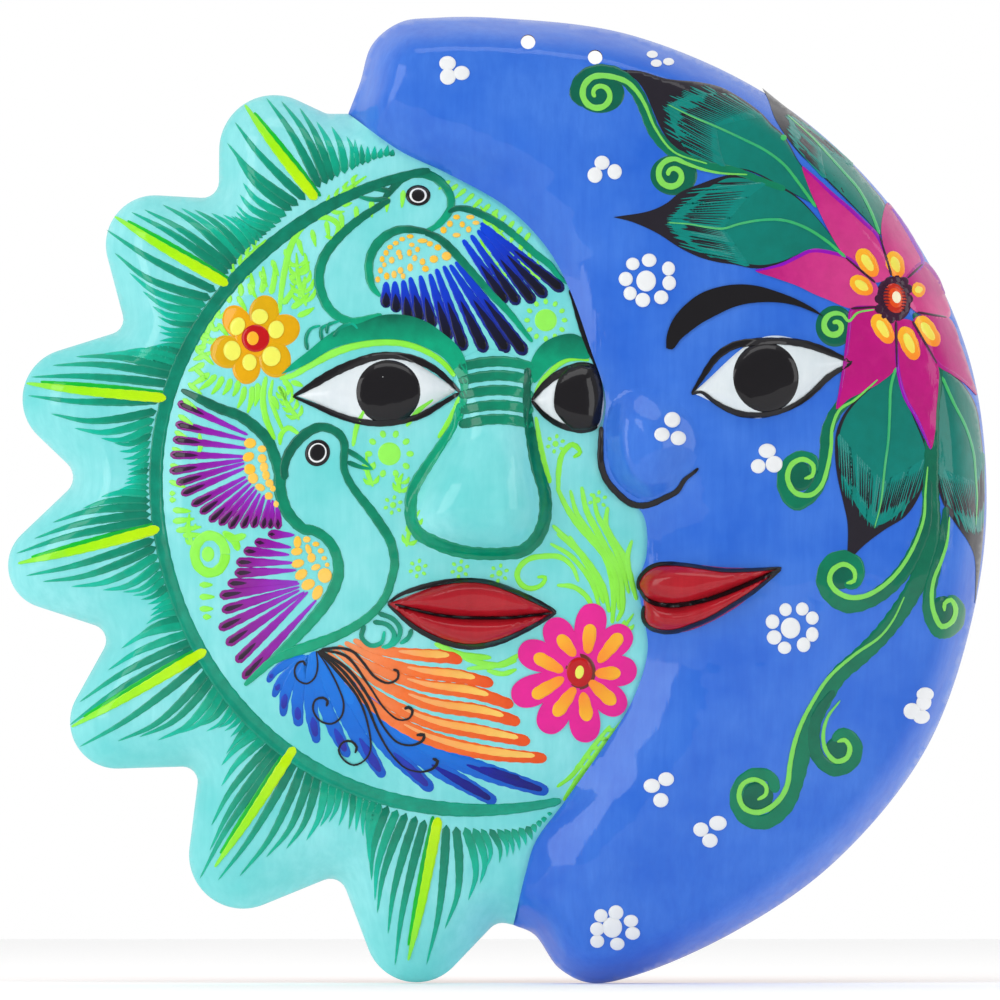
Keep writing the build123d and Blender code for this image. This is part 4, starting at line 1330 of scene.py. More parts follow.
ORANGE_TAIL = [
    (
        [
            (-43.9, -41.8), (-39.3, -44.1), (-32.5, -45.5), (-23.3, -46.4), (-14.1, -47.2),
            (-11.4, -48.4),
        ],
        [1.6, 3.0, 3.6, 4.0, 4.6, 3.4],
    ),
    ([(-46.5, -42.6), (-38, -47), (-26, -51), (-12, -52.8), (-2, -55)], [1.6, 3.0, 4.0, 4.6, 3.4]),
    ([(-48.5, -43.6), (-38, -50), (-24, -55.2), (-8, -57.6), (4, -61.5)], [1.4, 3.2, 4.0, 4.6, 3.4]),
    ([(-50, -44.6), (-37, -54), (-22, -60.6), (-5, -63.5), (6, -66.6)], [1.4, 3.4, 4.4, 4.8, 3.6]),
    ([(-51.5, -45.6), (-37, -58.4), (-22, -66), (-5, -69.6), (9, -72.4)], [1.2, 3.2, 4.4, 4.8, 3.6]),
    (
        [(-52.5, -46.4), (-37.5, -62), (-22, -71), (-4, -75.6), (14, -77.4)],
        [1.2, 3.0, 4.6, 5.2, 4.6, 3.4],
    ),
]
for line, widths in ORANGE_TAIL:
    tail_orange.stroke(line, widths, 0.12)
    sampled = spline(line, step=2.0)
    heart = sampled[int(len(sampled) * 0.42) : -2]
    shift = np.array([0.4, 0.5])
    tail_amber.stroke(
        [tuple(p + shift) for p in heart[:: max(1, len(heart) // 5)]], [0.7, 1.8, 2.6, 2.8, 1.6], 0.1
    )
curls = coat("tail_curls", SUN, BLACK, 5)
curls.breadth = 0.72
for line, widths in [
    (
        [
            (-55, -45.2), (-54.6, -50), (-55.6, -53.4), (-58, -55), (-60.8, -53.6), (-61.5, -51),
            (-60.6, -48.9), (-58.9, -48.3), (-58.3, -49.6),
        ],
        [0.6, 0.9, 0.9, 0.9, 1.3],
    ),
    (
        [
            (-54.8, -45.2), (-51.5, -50), (-48.6, -55.6), (-46.8, -61), (-47.6, -65), (-50.4, -67),
            (-54, -66), (-56, -62.6), (-55.2, -59.8), (-53, -59.2), (-51.6, -60.2), (-52, -61.8),
        ],
        [0.6, 0.8, 0.9, 1.0, 0.9, 1.0, 1.5],
    ),
    (
        [
            (-54.5, -45.2), (-48.5, -51.5), (-42.6, -59), (-39.6, -67), (-38.8, -75), (-40.6, -78),
            (-43.8, -79.4), (-46.8, -77.8), (-48.3, -74.8), (-46.8, -72.4), (-44.4, -72.3),
            (-42.9, -74), (-43.4, -75.8),
        ],
        [1.0, 1.6, 1.2, 0.9, 0.8, 0.9, 1.3],
    ),
    (
        [
            (-54.2, -45), (-46.5, -51.8), (-40.4, -60.4), (-36.4, -69.6), (-32.6, -76), (-28.4, -80.2),
            (-23.6, -81.4), (-19.8, -80.2), (-18.7, -78.2), (-20.2, -77.4),
        ],
        [1.0, 1.6, 1.6, 1.2, 0.9, 0.7, 1.8],
    ),
    (
        [
            (-54, -44.9), (-45.2, -51), (-39, -59.6), (-34.8, -68), (-30.6, -72.6), (-26.2, -73.4),
            (-23, -71.8), (-22.8, -70.3), (-25, -70.4),
        ],
        [1.0, 1.7, 1.6, 1.3, 1.0, 1.0, 1.9],
    ),
    (
        [
            (-53.6, -44.8), (-46, -46.8), (-39.6, -55), (-34.4, -62.6), (-30.2, -65.8), (-27, -65.2),
            (-26.2, -63), (-27.4, -62), (-28.6, -62.6),
        ],
        [1.0, 1.4, 1.3, 1.0, 0.9, 0.9, 1.8],
    ),
    (
        [
            (-53.4, -44.7), (-48.1, -44.3), (-44, -45.4), (-41, -48.6), (-37.4, -53), (-33.4, -54.8),
            (-30.6, -53.4), (-30.6, -51.2), (-32, -50.7),
        ],
        [1.2, 1.4, 1.4, 1.3, 1.2, 1.1, 1.3],
    ),
]:
    curls.stroke(line, widths, 0.14)
for curl in (
    [(-40.5, -37.5), (-41.4, -41), (-38.6, -43.6), (-35.4, -42.6), (-34.6, -39.2)],
    [(-38, -36.4), (-33.6, -37.4), (-31.6, -40.4), (-33.4, -43.6), (-35.6, -44)],
    [(-36.5, -33.8), (-31.8, -35.8), (-29.8, -39), (-31.6, -43), (-34.8, -44.4)],
    [(-26.4, -38.6), (-27.4, -41.2), (-29.9, -43)],
):
    sun_dark_green.stroke(curl, [1.6, 1.5, 1.6, 1.0])

# Flowers of the sun

PINK_PETALS = [
    (28.5, -31), (38.8, -38.5), (41, -51), (37, -63.5), (26, -72.6), (13, -69.5), (3.6, -59.5),
    (5.6, -44.4), (15, -35.6),
]
PINK_OVALS = [
    (26.2, -46, 27.1, -37.1), (29.4, -48.6, 36.3, -40.1), (28.4, -51.9, 36.1, -51.8),
    (26.7, -54.1, 34.5, -61), (24.8, -57.5, 26.2, -66.2), (22.5, -56.1, 16.3, -64.6),
    (19.1, -53.2, 9.7, -58.9), (18.9, -51.3, 10.2, -46.5), (22.5, -46.7, 17.5, -40.5),
]
pink = coat("pink_flower", SUN, PINK, 3)
pink_ovals = coat("pink_flower_ovals", SUN, PETAL_ORANGE, 5)
centre = np.array((23.8, -51.5))
for number, (x, z) in enumerate(PINK_PETALS):
    tip = np.array((x, z))
    away = (tip - centre) / np.hypot(*(tip - centre))
    side = np.array((-away[1], away[0]))
    outline = [
        centre + side * 0.8,
        centre + away * 7 + side * 3.3,
        tip - away * 5 + side * 4.6,
        tip - away * 1.2 + side * 3,
        tip,
        tip - away * 1.2 - side * 3,
        tip - away * 5 - side * 4.6,
        centre + away * 7 - side * 3.3,
        centre - side * 0.8,
    ]
    pink.patch([tuple(p) for p in outline], rise=FILM + 0.012 * number)
for bx, bz, tx, tz in PINK_OVALS:
    pink_ovals.stroke([(bx, bz), (tx, tz)], [2.6, 4.2, 4.8, 4.6], 0.16)
coat("pink_flower_ring", SUN, BROWN, 6).dot(tuple(centre), 10.4, 11.8, rise=0.1)
flower_red = coat("flower_red", SUN, CENTRE_RED, 8)
flower_red.dot(tuple(centre), 8.2, 9.4, rise=0.2)
flower_yellow = coat("flower_yellow", SUN, PETAL_YELLOW, 10)
flower_yellow.dot(tuple(centre), 3.0, 4.6, -10, rise=0.2)
gold = coat("gold_flower", SUN, GOLD, 3)
for x, z, width, tall, turn in [
    (-78.8, 53.4, 8.6, 10.6, 30), (-70.6, 56, 9.4, 11, -10), (-65, 50.8, 9.6, 11, -60),
    (-67.4, 42.2, 10, 11.6, 15), (-75.9, 39.9, 8.8, 10.8, 0), (-81.6, 44.4, 10.2, 10.8, 70),
]:
    gold.dot((x, z), width, tall, turn, rise=0.1, shade=random.random())
gold.dot((-73.8, 48.2), 12, 12, rise=0.1)
flower_red.dot((-73.2, 48.4), 8.8, 8.6, rise=0.12)
for x, z, width, tall, turn in [
    (-78.6, 52, 4.6, 5.8, -25), (-71.9, 54.9, 5.2, 4.8, 0), (-67, 51, 4.9, 5.6, -15),
    (-68.4, 43, 5.8, 6.2, 0), (-75, 41.2, 4.5, 5.2, 0), (-80.2, 44.7, 5.4, 6.2, 10),
]:
    flower_yellow.dot((x, z), width, tall, turn, rise=0.22)
coat("gold_heart", SUN, PETAL_ORANGE, 10).dot((-74, 48.4), 3.8, 4.4, rise=0.25, shade=0.9)

# Light green drawing between the motifs

sun_lime.breadth = 1.25


def daisy(x, z, heart, reach, petals, size, turn=0.0):
    """Dot with a ring of smaller dots."""
    sun_lime.dot((x, z), heart, rise=0.12)
    for i in range(petals):
        angle = math.radians(turn) + 2 * math.pi * i / petals
        sun_lime.dot(
            (x + reach * math.cos(angle), z + reach * math.sin(angle)),
            size,
            size * 0.8,
            math.degrees(angle),
            rise=0.12,
        )


daisy(-33.1, 13.8, 7.2, 6.2, 10, 2.4)
daisy(13.7, 53.8, 7.0, 5.6, 12, 1.9)
for x, z in ((-32, -1.5), (-24.5, -20.5), (-12, -20.7), (-0.2, -21.9), (29.2, 0), (16.6, 16.8)):
    daisy(x, z, 2.0, 2.3, 6, 1.5, 20)
sun_lime.stroke(
    [
        (-86.8 + 4.6 * math.cos(a), -16.2 + 5.6 * math.sin(a))
        for a in np.linspace(0, 2 * math.pi, 12)[:-1]
    ],
    2.6,
    closed=True,
)
sun_lime.dot((-87.4, -16.2), 4.0, 4.8, rise=0.12)
for line, width in [
    ([(17.5, 2.4), (17.5, 7.9), (18.7, 13.9), (21.7, 16.6), (24, 14.3), (21.9, 12.7)], 1.5),
    (
        [
            (23.5, -24.5), (21.6, -19.9), (18, -17.1), (13.4, -16.8), (8.8, -17.6), (6, -19.9),
            (5.1, -22.6), (6.5, -25.4), (9.2, -26.5), (12.4, -25.4), (13.6, -23.1), (11.1, -23.1),
        ],
        1.5,
    ),
    (
        [
            (17, 4), (19.8, -2), (23.5, -7.5), (27.6, -12.1), (31.3, -16.7), (33.1, -21.7), (34, -28),
            (33.6, -37),
        ],
        1.8,
    ),
    (
        [
            (24.4, 4), (25.8, -2.9), (29, -9.3), (31.7, -14.4), (34.9, -19.9), (36.3, -25.8),
            (36.6, -32.7), (34.9, -36.4),
        ],
        1.8,
    ),
    ([(32.2, -2), (31.7, -7.5), (33.6, -11.6), (36.3, -15.7), (38.6, -21.7), (40.9, -30)], 1.7),
    ([(39.5, -12), (38.2, -16.7), (39.1, -23.5), (40.9, -30)], 1.4),
    ([(15.7, -7.5), (24.8, -16.7), (30.8, -25.8), (32.7, -33.7)], 1.6),
    ([(20.7, -10.7), (27.1, -21.7), (29.4, -30)], 1.5),
    ([(37, -66), (31, -73.5), (25, -81.5), (19, -90)], 1.8),
    ([(33, -67.5), (27, -75), (21.5, -82.5), (17, -86)], 1.3),
    ([(-19.6, -42.9), (-12, -46.2), (-2.6, -47.2)], 1.8),
    ([(-10, -50.5), (0, -49.2), (8, -45)], 1.4),
    (
        [
            (-62, 77.9), (-60, 81.3), (-56.7, 84.2), (-51.3, 84.4), (-48.4, 82.2), (-49.6, 78.4),
            (-52.3, 79),
        ],
        1.5,
    ),
    (
        [(-66, 56), (-65.4, 63), (-64.2, 70), (-62.4, 76.5), (-58.8, 82.4), (-53.4, 86.6), (-46, 89.2)],
        1.7,
    ),
    ([(-70, 37), (-71, 31), (-70.2, 25), (-67.4, 18)], 1.7),
    ([(-68, 36), (-68.8, 31), (-67, 25.5), (-64.6, 20)], 1.2),
    ([(-60, 19.6), (-63.4, 21.6), (-65.6, 19.4), (-65.8, 16.4)], 1.4),
    ([(-83, -9.5), (-79.5, -12.2), (-78.3, -15.2)], 2.2),
    ([(-76, -10.5), (-80, -11.5), (-82.5, -10)], 2.0),
    ([(17, -10), (23, -15), (28, -21.5), (31, -31)], 1.5),
    ([(15, -13), (21.5, -17), (27.5, -25), (30, -33)], 1.3),
    ([(21, 3), (23, -4), (27, -10), (31, -15.5), (34.6, -23), (35.6, -33)], 1.5),
    ([(28, 2), (29, -4), (32.5, -11), (36, -18.5), (38.6, -28)], 1.4),
    ([(17, -25.5), (22, -26), (26, -29), (28, -33)], 1.4),
    ([(-14, -45.5), (-7, -48.4), (0, -49.4), (5, -48)], 1.6),
    ([(-4, -51), (1, -52), (5, -50.6)], 1.4),
]:
    sun_lime.stroke(line, [width * 0.6, width, width, width, width * 0.6], 0.1)
for bx, bz, tx, tz in [
    (-87, 38, -92.6, 34.4), (-85, 37.5, -90, 33), (-83, 37, -86.4, 31.6), (-80.6, 36.4, -83, 31.4),
    (-78.4, 35.8, -80, 31), (-76.4, 34, -78.6, 27.4), (-74.2, 34, -75.6, 26), (-72.6, 35, -73.4, 28),
    (-88.5, 41, -93.4, 38.6), (-88.4, 43.4, -92, 42), (-88, 46, -91, 45.6), (-87, 48.6, -89.8, 49.6),
    (-86, 51.2, -88, 53.6), (-84.6, 55, -85.6, 58), (-81, 59, -82.4, 62.4), (-77.6, 61, -78.6, 66),
    (-74.8, 61.4, -74.6, 68), (-71.4, 62, -71, 70), (-68.6, 61.6, -67.6, 70.6),
    (-65, 58.6, -61.4, 64.6), (-62.4, 57.4, -57, 62), (-60.6, 55, -55.6, 57.6),
    (-60.2, 60.6, -58.4, 67), (-63, 66, -57, 71.4), (-65, 36, -62, 32), (-66.4, 34, -64, 29.6),
    (-68.6, 31, -66.4, 27), (-62.6, 35.4, -59, 34), (-90, -25.4, -86, -25.4), (-90, -29, -85.4, -29),
    (-90, -32.6, -85.8, -32.6), (-89, -35, -86.4, -35), (-98, -3, -92.5, -3.4),
    (-98, -6.4, -91.5, -5.6), (-97, -9.2, -89.4, -8), (-95, -10.6, -89, -10.4), (-99, 2, -97.2, 2),
    (-99, 0, -97, 0),
]:
    sun_lime.stroke([(bx, bz), ((bx + tx) / 2 + 0.5, (bz + tz) / 2), (tx, tz)], [1.7, 1.6, 0.6], 0.1)
for step_number in range(11):
    share = step_number / 10
    x, z = -15 + 24 * share, 95.6 - 15.6 * share**1.15
    sun_lime.stroke([(x, z), (x - 3.4 + share, z - 2.6 - share)], [1.5, 0.6], 0.1)


def sprig(base, tip, count, reach, side_width=1.3):
    """Curved stem with short leaves to both sides."""
    a, b = np.array(base, float), np.array(tip, float)
    ahead = (b - a) / np.hypot(*(b - a))
    side = np.array([-ahead[1], ahead[0]])
    sun_lime.stroke([base, tuple((a + b) / 2 + side * 0.8), tip], [1.0, 1.4, 0.5], 0.1)
    for i in range(count):
        root = a + (b - a) * (0.08 + 0.84 * i / count)
        for turn in (1, -1):
            out = root + ahead * reach * 0.9 + side * turn * reach * (1.0 - 0.5 * i / count)
            sun_lime.stroke(
                [
                    tuple(root),
                    tuple(root + ahead * 0.3 * reach + side * turn * reach * 0.6),
                    tuple(out),
                ],
                [side_width * 0.7, side_width, 0.4],
                0.1,
            )


for base, tip, count, reach in [
    ((-58, 58), (-61, 74), 5, 4.0), ((-52, 86), (-40, 97), 4, 3.4), ((-90, 42), (-83, 60), 4, 2.6),
    ((-80, 66), (-70, 78), 4, 3.2), ((-44, 16), (-40, 28), 0, 3), ((-28, 22), (-20, 30), 0, 3),
    ((-30, 2), (-29, 8), 2, 2.6), ((12, 66), (-6, 88), 6, 3.0), ((2, 66), (-6, 78), 3, 2.6),
    ((36, -68), (22, -84), 5, 3.0), ((-28, -14), (-24, -3), 3, 2.4), ((34, -46), (40, -34), 3, 2.2),
    ((-90, 20), (-91, 12), 0, 2), ((-92, -14), (-93, -4), 2, 2.0), ((-60, 24), (-66, 34), 4, 2.8),
    ((-38, 4), (-40, 14), 2, 2.4),
]:
    sprig(base, tip, count, reach)
for number in range(26):
    angle = math.radians(102 + number * 3.1)
    inner = (RING_CENTRE[0] + 87.5 * math.cos(angle), RING_CENTRE[1] + 87.5 * math.sin(angle))
    outer = (
        RING_CENTRE[0] + 92.5 * math.cos(angle - 0.02), RING_CENTRE[1] + 92.5 * math.sin(angle - 0.02)
    )
    sun_lime.stroke([outer, inner], [1.5, 1.4, 0.5], 0.1)

# Moon's face

moon_black = coat("moon_black", MOON, BLACK, 5)
moon_black.stroke(
    [
        (30.3, 22), (30.1, 16.6), (30.1, 12), (30.7, 8.8), (32.1, 5.6), (34.8, 2.4), (38.6, -0.8),
        (41.8, -1.7), (45, -1.3), (49.2, 0.6), (52.9, 2.6), (55.2, 6), (58, 8.3), (59.3, 9.5),
    ],
    [1.4, 2.0, 2.0, 2.0, 1.8, 1.0],
)
moon_black.stroke(
    [
        (57.3, 31.8), (60, 36), (65, 43), (70, 46.2), (75.3, 47.2), (83, 47.6), (90.6, 46.8),
        (96, 45.2), (101.3, 43), (105.4, 41.2),
    ],
    [0.8, 2.0, 2.4, 2.4, 2.2, 2.4, 2.2, 0.9],
)
moon_black.stroke(
    [
        (57.3, 31.6), (60, 32.3), (63.8, 29.6), (67.7, 27.3), (72.2, 25.7), (78.4, 25.4), (85.2, 27),
        (90.6, 29.8), (94.4, 33), (98.3, 36.8), (105.2, 41),
    ],
    [0.8, 1.4, 2.0, 1.8, 1.6, 1.8, 2.0, 0.9],
)
moon_black.dot((79.5, 36.7), 20.0, 21.5, 10, rise=0.25)
moon_black.patch(
    joined(
        spline(
            [
                (49.7, 45.4), (49.7, 48), (50.2, 50.5), (51.5, 53.6), (54, 57), (58, 60.5),
                (61.1, 62.3), (66.7, 64), (72.3, 64.5), (77.2, 64), (82.1, 62.6), (88.4, 60.2),
                (94.4, 56.9), (96.6, 55),
            ]
        ),
        spline(
            [
                (96.6, 55), (89, 58), (83, 59.1), (75.3, 58.9), (70, 57.7), (65, 55.4), (60, 52.7),
                (57, 50.5), (54, 48), (51.5, 45), (49.7, 45.4),
            ]
        ),
    ),
    False,
    rise=0.2,
)
moon_black.stroke(
    [
        (41.6, -27), (41.3, -24.5), (42.9, -21.7), (46, -19.6), (50.1, -19), (55.6, -19.4),
        (61.1, -20.2), (67, -21), (75.3, -20.9), (84.2, -20.3),
    ],
    [1.0, 1.3, 1.3, 1.2, 1.3, 1.2, 0.8],
)
moon_black.stroke(
    [
        (41.6, -26.5), (43.6, -29.6), (46.4, -31), (51, -31.5), (55.6, -31.1), (61.6, -29.9),
        (67, -28.1), (75.3, -24.7), (84, -20.6),
    ],
    [0.9, 1.5, 1.5, 1.3, 1.2, 0.8],
)
moon_black.stroke(
    [
        (43, -31.6), (42.7, -35), (44.4, -38), (48.3, -39.4), (52.4, -39.3), (57.9, -37.5), (63, -35.4),
        (70, -31.2), (75.3, -27.8), (84, -20.8),
    ],
    [1.0, 1.4, 1.5, 1.5, 1.4, 0.8],
)

# Leaves: outlines, veins and fringes

leaf_dark = coat("leaves_dark", MOON, LEAF_DARK, 1)
leaf = coat("leaves", MOON, LEAF, 2)
leaf_hair = coat("leaf_hair", MOON, LEAF, 3)
leaf_fringe = coat("leaf_fringe", MOON, LEAF_DARK, 4)
vein = coat("leaf_veins", MOON, VEIN, 5)
LEAVES = [
    dict(
        top=[
            (36, 128.8), (42, 128.4), (50, 126.1), (60, 125.1), (66, 123.7), (70.9, 121.2),
            (75.1, 118.4), (78.6, 115.6), (81.4, 112.5), (84.9, 109.3), (89, 102), (91.6, 98),
            (95.8, 87.5),
        ],
        low=[
            (36, 128.8), (41, 125.5), (43.5, 121.9), (45.6, 117), (47.7, 112.1), (50, 108.2),
            (54, 104.4), (60, 101.2), (66, 99.5), (74.4, 98.4), (89, 91), (95.8, 87.5),
        ],
        vein=[
            (50, 118.5), (57.2, 114.9), (64.6, 111.8), (73, 107.9), (79.3, 104.7), (84.9, 100.5),
            (89.1, 95.3), (94.7, 87.5),
        ],
    ),
    dict(
        top=[
            (34, 84.6), (44.9, 86.5), (50, 88.9), (54, 92.1), (60, 94.6), (66, 96.7), (70.2, 97.4),
            (75.1, 96.7), (80, 95.3), (84.9, 93.5), (89.8, 90), (95, 84.4), (99.6, 78.4), (103.5, 72.5),
        ],
        low=[
            (34, 84.6), (40, 83), (47, 79.8), (54, 75.3), (60, 72.5), (65.3, 71.1), (70.2, 70.4),
            (75.8, 69.3), (80, 69.6), (84.9, 71.1), (89.1, 73.2), (94, 74.9), (103.5, 72.5),
        ],
        vein=[
            (50, 83), (56.8, 82.5), (61.8, 81.6), (66.7, 81.2), (71.6, 82.6), (78.6, 83.8),
            (84.9, 83.7), (91.2, 81.6), (97.5, 77.7), (103.5, 72.6),
        ],
    ),
    dict(
        top=[
            (78.6, 123.6), (85, 118.4), (90, 114.6), (95, 110.4), (100, 105.8), (106, 100.2),
            (110.9, 94.6), (115.4, 88.9), (117, 84), (113.7, 79.1),
        ],
        low=[
            (78.6, 123.6), (80.4, 120), (82.1, 114.9), (84.9, 110), (89.1, 104.4), (94, 99.5),
            (98.9, 94.6), (104.6, 89), (110.2, 83.3), (113.7, 79.1),
        ],
        vein=[
            (86, 115.6), (93.7, 108.6), (98.2, 103.7), (103.2, 98.1), (107.4, 93.2), (110.9, 86.8),
            (113.7, 79.5),
        ],
    ),
    dict(
        top=[
            (103.8, -18.8), (104, -7.3), (102.8, -1.2), (100.9, 7.2), (100.2, 14.1), (100.6, 20.2),
            (102.8, 25.6), (106.3, 29.8), (112, 34.6), (118.5, 40.1),
        ],
        low=[
            (103.8, -18.8), (109, -13.5), (115.1, -8.9), (121.2, -5), (125, 0.3), (127.3, 6.4),
            (128.1, 14.1), (127.3, 17.2), (124.3, 24), (121.2, 31.7), (118.5, 40.1),
        ],
        vein=[
            (112, -8.5), (113.9, -1.2), (115.2, 10.3), (116.2, 17.9), (116.6, 25.6), (117, 34),
            (118.5, 39.7),
        ],
    ),
    dict(
        top=[
            (142.5, -31), (142.2, -17.3), (140.3, -12.7), (136.5, -7.3), (132.7, -1.2), (130.4, 8),
            (130, 17.9), (130.8, 27.1), (131.2, 34.8), (130.8, 40.9),
        ],
        low=[
            (142.5, -31), (144.4, -16), (145.2, -4), (145.2, 8), (144.2, 20), (142.4, 29), (137.6, 36),
            (130.8, 40.9),
        ],
        vein=[
            (142.6, -8), (143, 1.1), (142.6, 6.4), (141.9, 14.1), (139.6, 21.7), (135.7, 29.4),
            (132.3, 37),
        ],
    ),
]


def along_line(line, share):
    """Point of a sampled line at a share of its length."""
    reach = np.concatenate([[0.0], np.cumsum(np.hypot(*np.diff(line, axis=0).T))])
    return np.array([np.interp(share * reach[-1], reach, line[:, k]) for k in (0, 1)])


def leaf_point(edge, edge_share, vein_line, vein_share, out):
    """Point between a leaf's vein and its edge, a share of the way out."""
    return along_line(edge, edge_share) * out + along_line(vein_line, vein_share) * (1 - out)


HAIRS = 18  # light hairs on each side of a leaf, with a dark one between each two
for shape in LEAVES:
    top, low, middle = spline(shape["top"]), spline(shape["low"]), spline(shape["vein"])
    leaf_dark.patch(joined(top, low[::-1]), False, start=0.9)
    reach = 0.3
    inner_top = [
        along_line(top, s) * 0.93 + along_line(middle, s) * 0.07
        for s in np.linspace(reach + 0.12, 0.99, 12)
    ]
    inner_low = [
        along_line(low, s) * 0.93 + along_line(middle, s) * 0.07
        for s in np.linspace(0.99, reach + 0.12, 12)
    ]
    front = along_line(middle, max(0.02, reach - 0.28))
    leaf.patch(
        inner_top + inner_low + [tuple(front)],
        True,
        towards=(shape["vein"][-1], shape["top"][0]),
        end=0.6,
    )
    for side in (top, low):
        for number in range(HAIRS):
            out = 0.04 + 0.9 * number / (HAIRS - 1)
            root_share = reach + 0.2 + 0.1 * out
            tip_share = reach - 0.12 + 0.14 * out + random.uniform(-0.03, 0.03)
            root = leaf_point(side, root_share, middle, root_share - 0.2, out)
            tip = leaf_point(side, tip_share, middle, max(0.0, tip_share - 0.2), out)
            line = [tuple(root), tuple((root + tip) / 2), tuple(tip)]
            leaf_hair.stroke(line, [1.6, 1.2, 0.2], 0.08, start=0.5, end=0.6)
            between = 0.04 + 0.9 * (number + 0.5) / (HAIRS - 1)
            if between < 0.95:
                near = leaf_point(side, root_share - 0.04, middle, root_share - 0.22, between)
                far = leaf_point(side, tip_share + 0.1, middle, max(0.0, tip_share - 0.1), between)
                line = [tuple(far), tuple((near + far) / 2), tuple(near)]
                leaf_fringe.stroke(line, [0.6, 0.4, 0.12], 0.05, start=0.9, end=0.9)
    vein.stroke(shape["vein"], [0.3, 0.7, 0.9, 1.0, 1.1], 0.12)
vein.dot((84.9, 108.5), 2, rise=0.2, shade=1.0)

# Scroll vines: a dark green line with a light one laid along it

vine = coat("vines", MOON, VINE, 2)
vine_lime = coat("vine_lime", MOON, VINE_LIME, 4)
vine_lime.breadth = 0.82
for line, widths in [
    (
        [
            (26, 118.4), (22.8, 121.6), (25, 126.4), (30.5, 128.2), (36.6, 126.6), (40.6, 122.6),
            (43.4, 117), (46, 110.6), (50, 105.6), (55, 102.4), (62, 100), (70, 98.6), (78, 95.6),
            (85.4, 93),
        ],
        [4.0, 5.0, 4.0, 4.0, 3.4, 2.6, 2.2],
    ),
    (
        [
            (124, 56), (130.8, 40), (129.6, 27), (129.2, 14.1), (128.9, 2.6), (129.2, -8.9),
            (127.3, -18), (124.3, -25.7), (119.7, -33.3), (113.6, -41), (107.4, -47.1), (101.3, -52.5),
            (96.7, -60), (93, -67.6), (90.4, -76), (88.4, -84), (85.4, -91.6), (79.8, -96.2),
            (74, -95.4), (70.8, -90.6), (71.8, -85.2), (76, -82), (81, -83), (82.6, -87.6),
        ],
        [2.0, 4.0, 5.0, 5.6, 5.6, 6.0, 5.6, 5.4, 5.6, 5.0, 4.4, 3.6],
    ),
    (
        [
            (118, 42), (107, 32.4), (101, 27), (97.9, 20.4), (97.4, 13.6), (96.2, 7), (93, 1.4),
            (88.4, -1), (85, 3.6), (85.4, 9.2), (89, 12.8), (93.4, 12), (94, 7.6),
        ],
        [2.0, 3.6, 4.0, 4.2, 4.6, 4.2, 3.4],
    ),
    (
        [
            (128.4, 6), (127.4, -7), (124.6, -14.6), (121.4, -20.4), (116.4, -26), (110.4, -30),
            (104, -31.6), (99, -28.8), (96.6, -24), (98.6, -18.6), (103, -17), (107, -19.4),
            (106.6, -24.4), (103, -25.6),
        ],
        [2.4, 4.4, 5.0, 5.0, 4.6, 4.4, 3.4],
    ),
    (
        [
            (133.6, -2), (132.4, -12.7), (130.4, -20), (128.6, -27.6), (128.8, -34.6), (132, -39.6),
            (136.6, -37.4), (137.4, -32), (134, -29),
        ],
        [2.0, 3.2, 4.0, 4.4, 4.4, 3.4],
    ),
    (
        [
            (100, -57), (95.4, -63.4), (93.8, -70.6), (95.2, -77), (100.2, -80.8), (105.6, -78.4),
            (106.6, -73), (102.8, -69.6), (99.6, -72),
        ],
        [2.4, 4.0, 4.2, 4.2, 3.8, 3.0],
    ),
]:
    vine.stroke(line, widths, 0.14)
for x, z, width, tall in [
    (30, 121.6, 15, 12), (52, 97.2, 14.6, 12.6), (100.2, 52, 12, 12.8), (132.6, -34.6, 10, 12),
    (77, -88.6, 10, 9), (101.2, -74.6, 8, 8), (89.8, 7, 8.6, 9), (102, -22.6, 9, 8.4),
]:
    vine.dot((x, z), width, tall, rise=0.1, shade=0.1)


def scroll(x, z, radius, start, turns, tail=()):
    """Light spiral that winds in round a centre, led in by a tail."""
    points = list(tail)
    for i in range(int(abs(turns) * 10) + 1):
        share = i / (abs(turns) * 10)
        angle = math.radians(start) + math.copysign(2 * math.pi, turns) * abs(turns) * share
        reach = radius * (1 - 0.78 * share)
        points.append((x + reach * math.cos(angle), z + reach * math.sin(angle)))
    vine_lime.stroke(points, [0.6, 0.9, 1.3, 2.2, 2.6, 2.5, 1.8], 0.16, step=0.6)


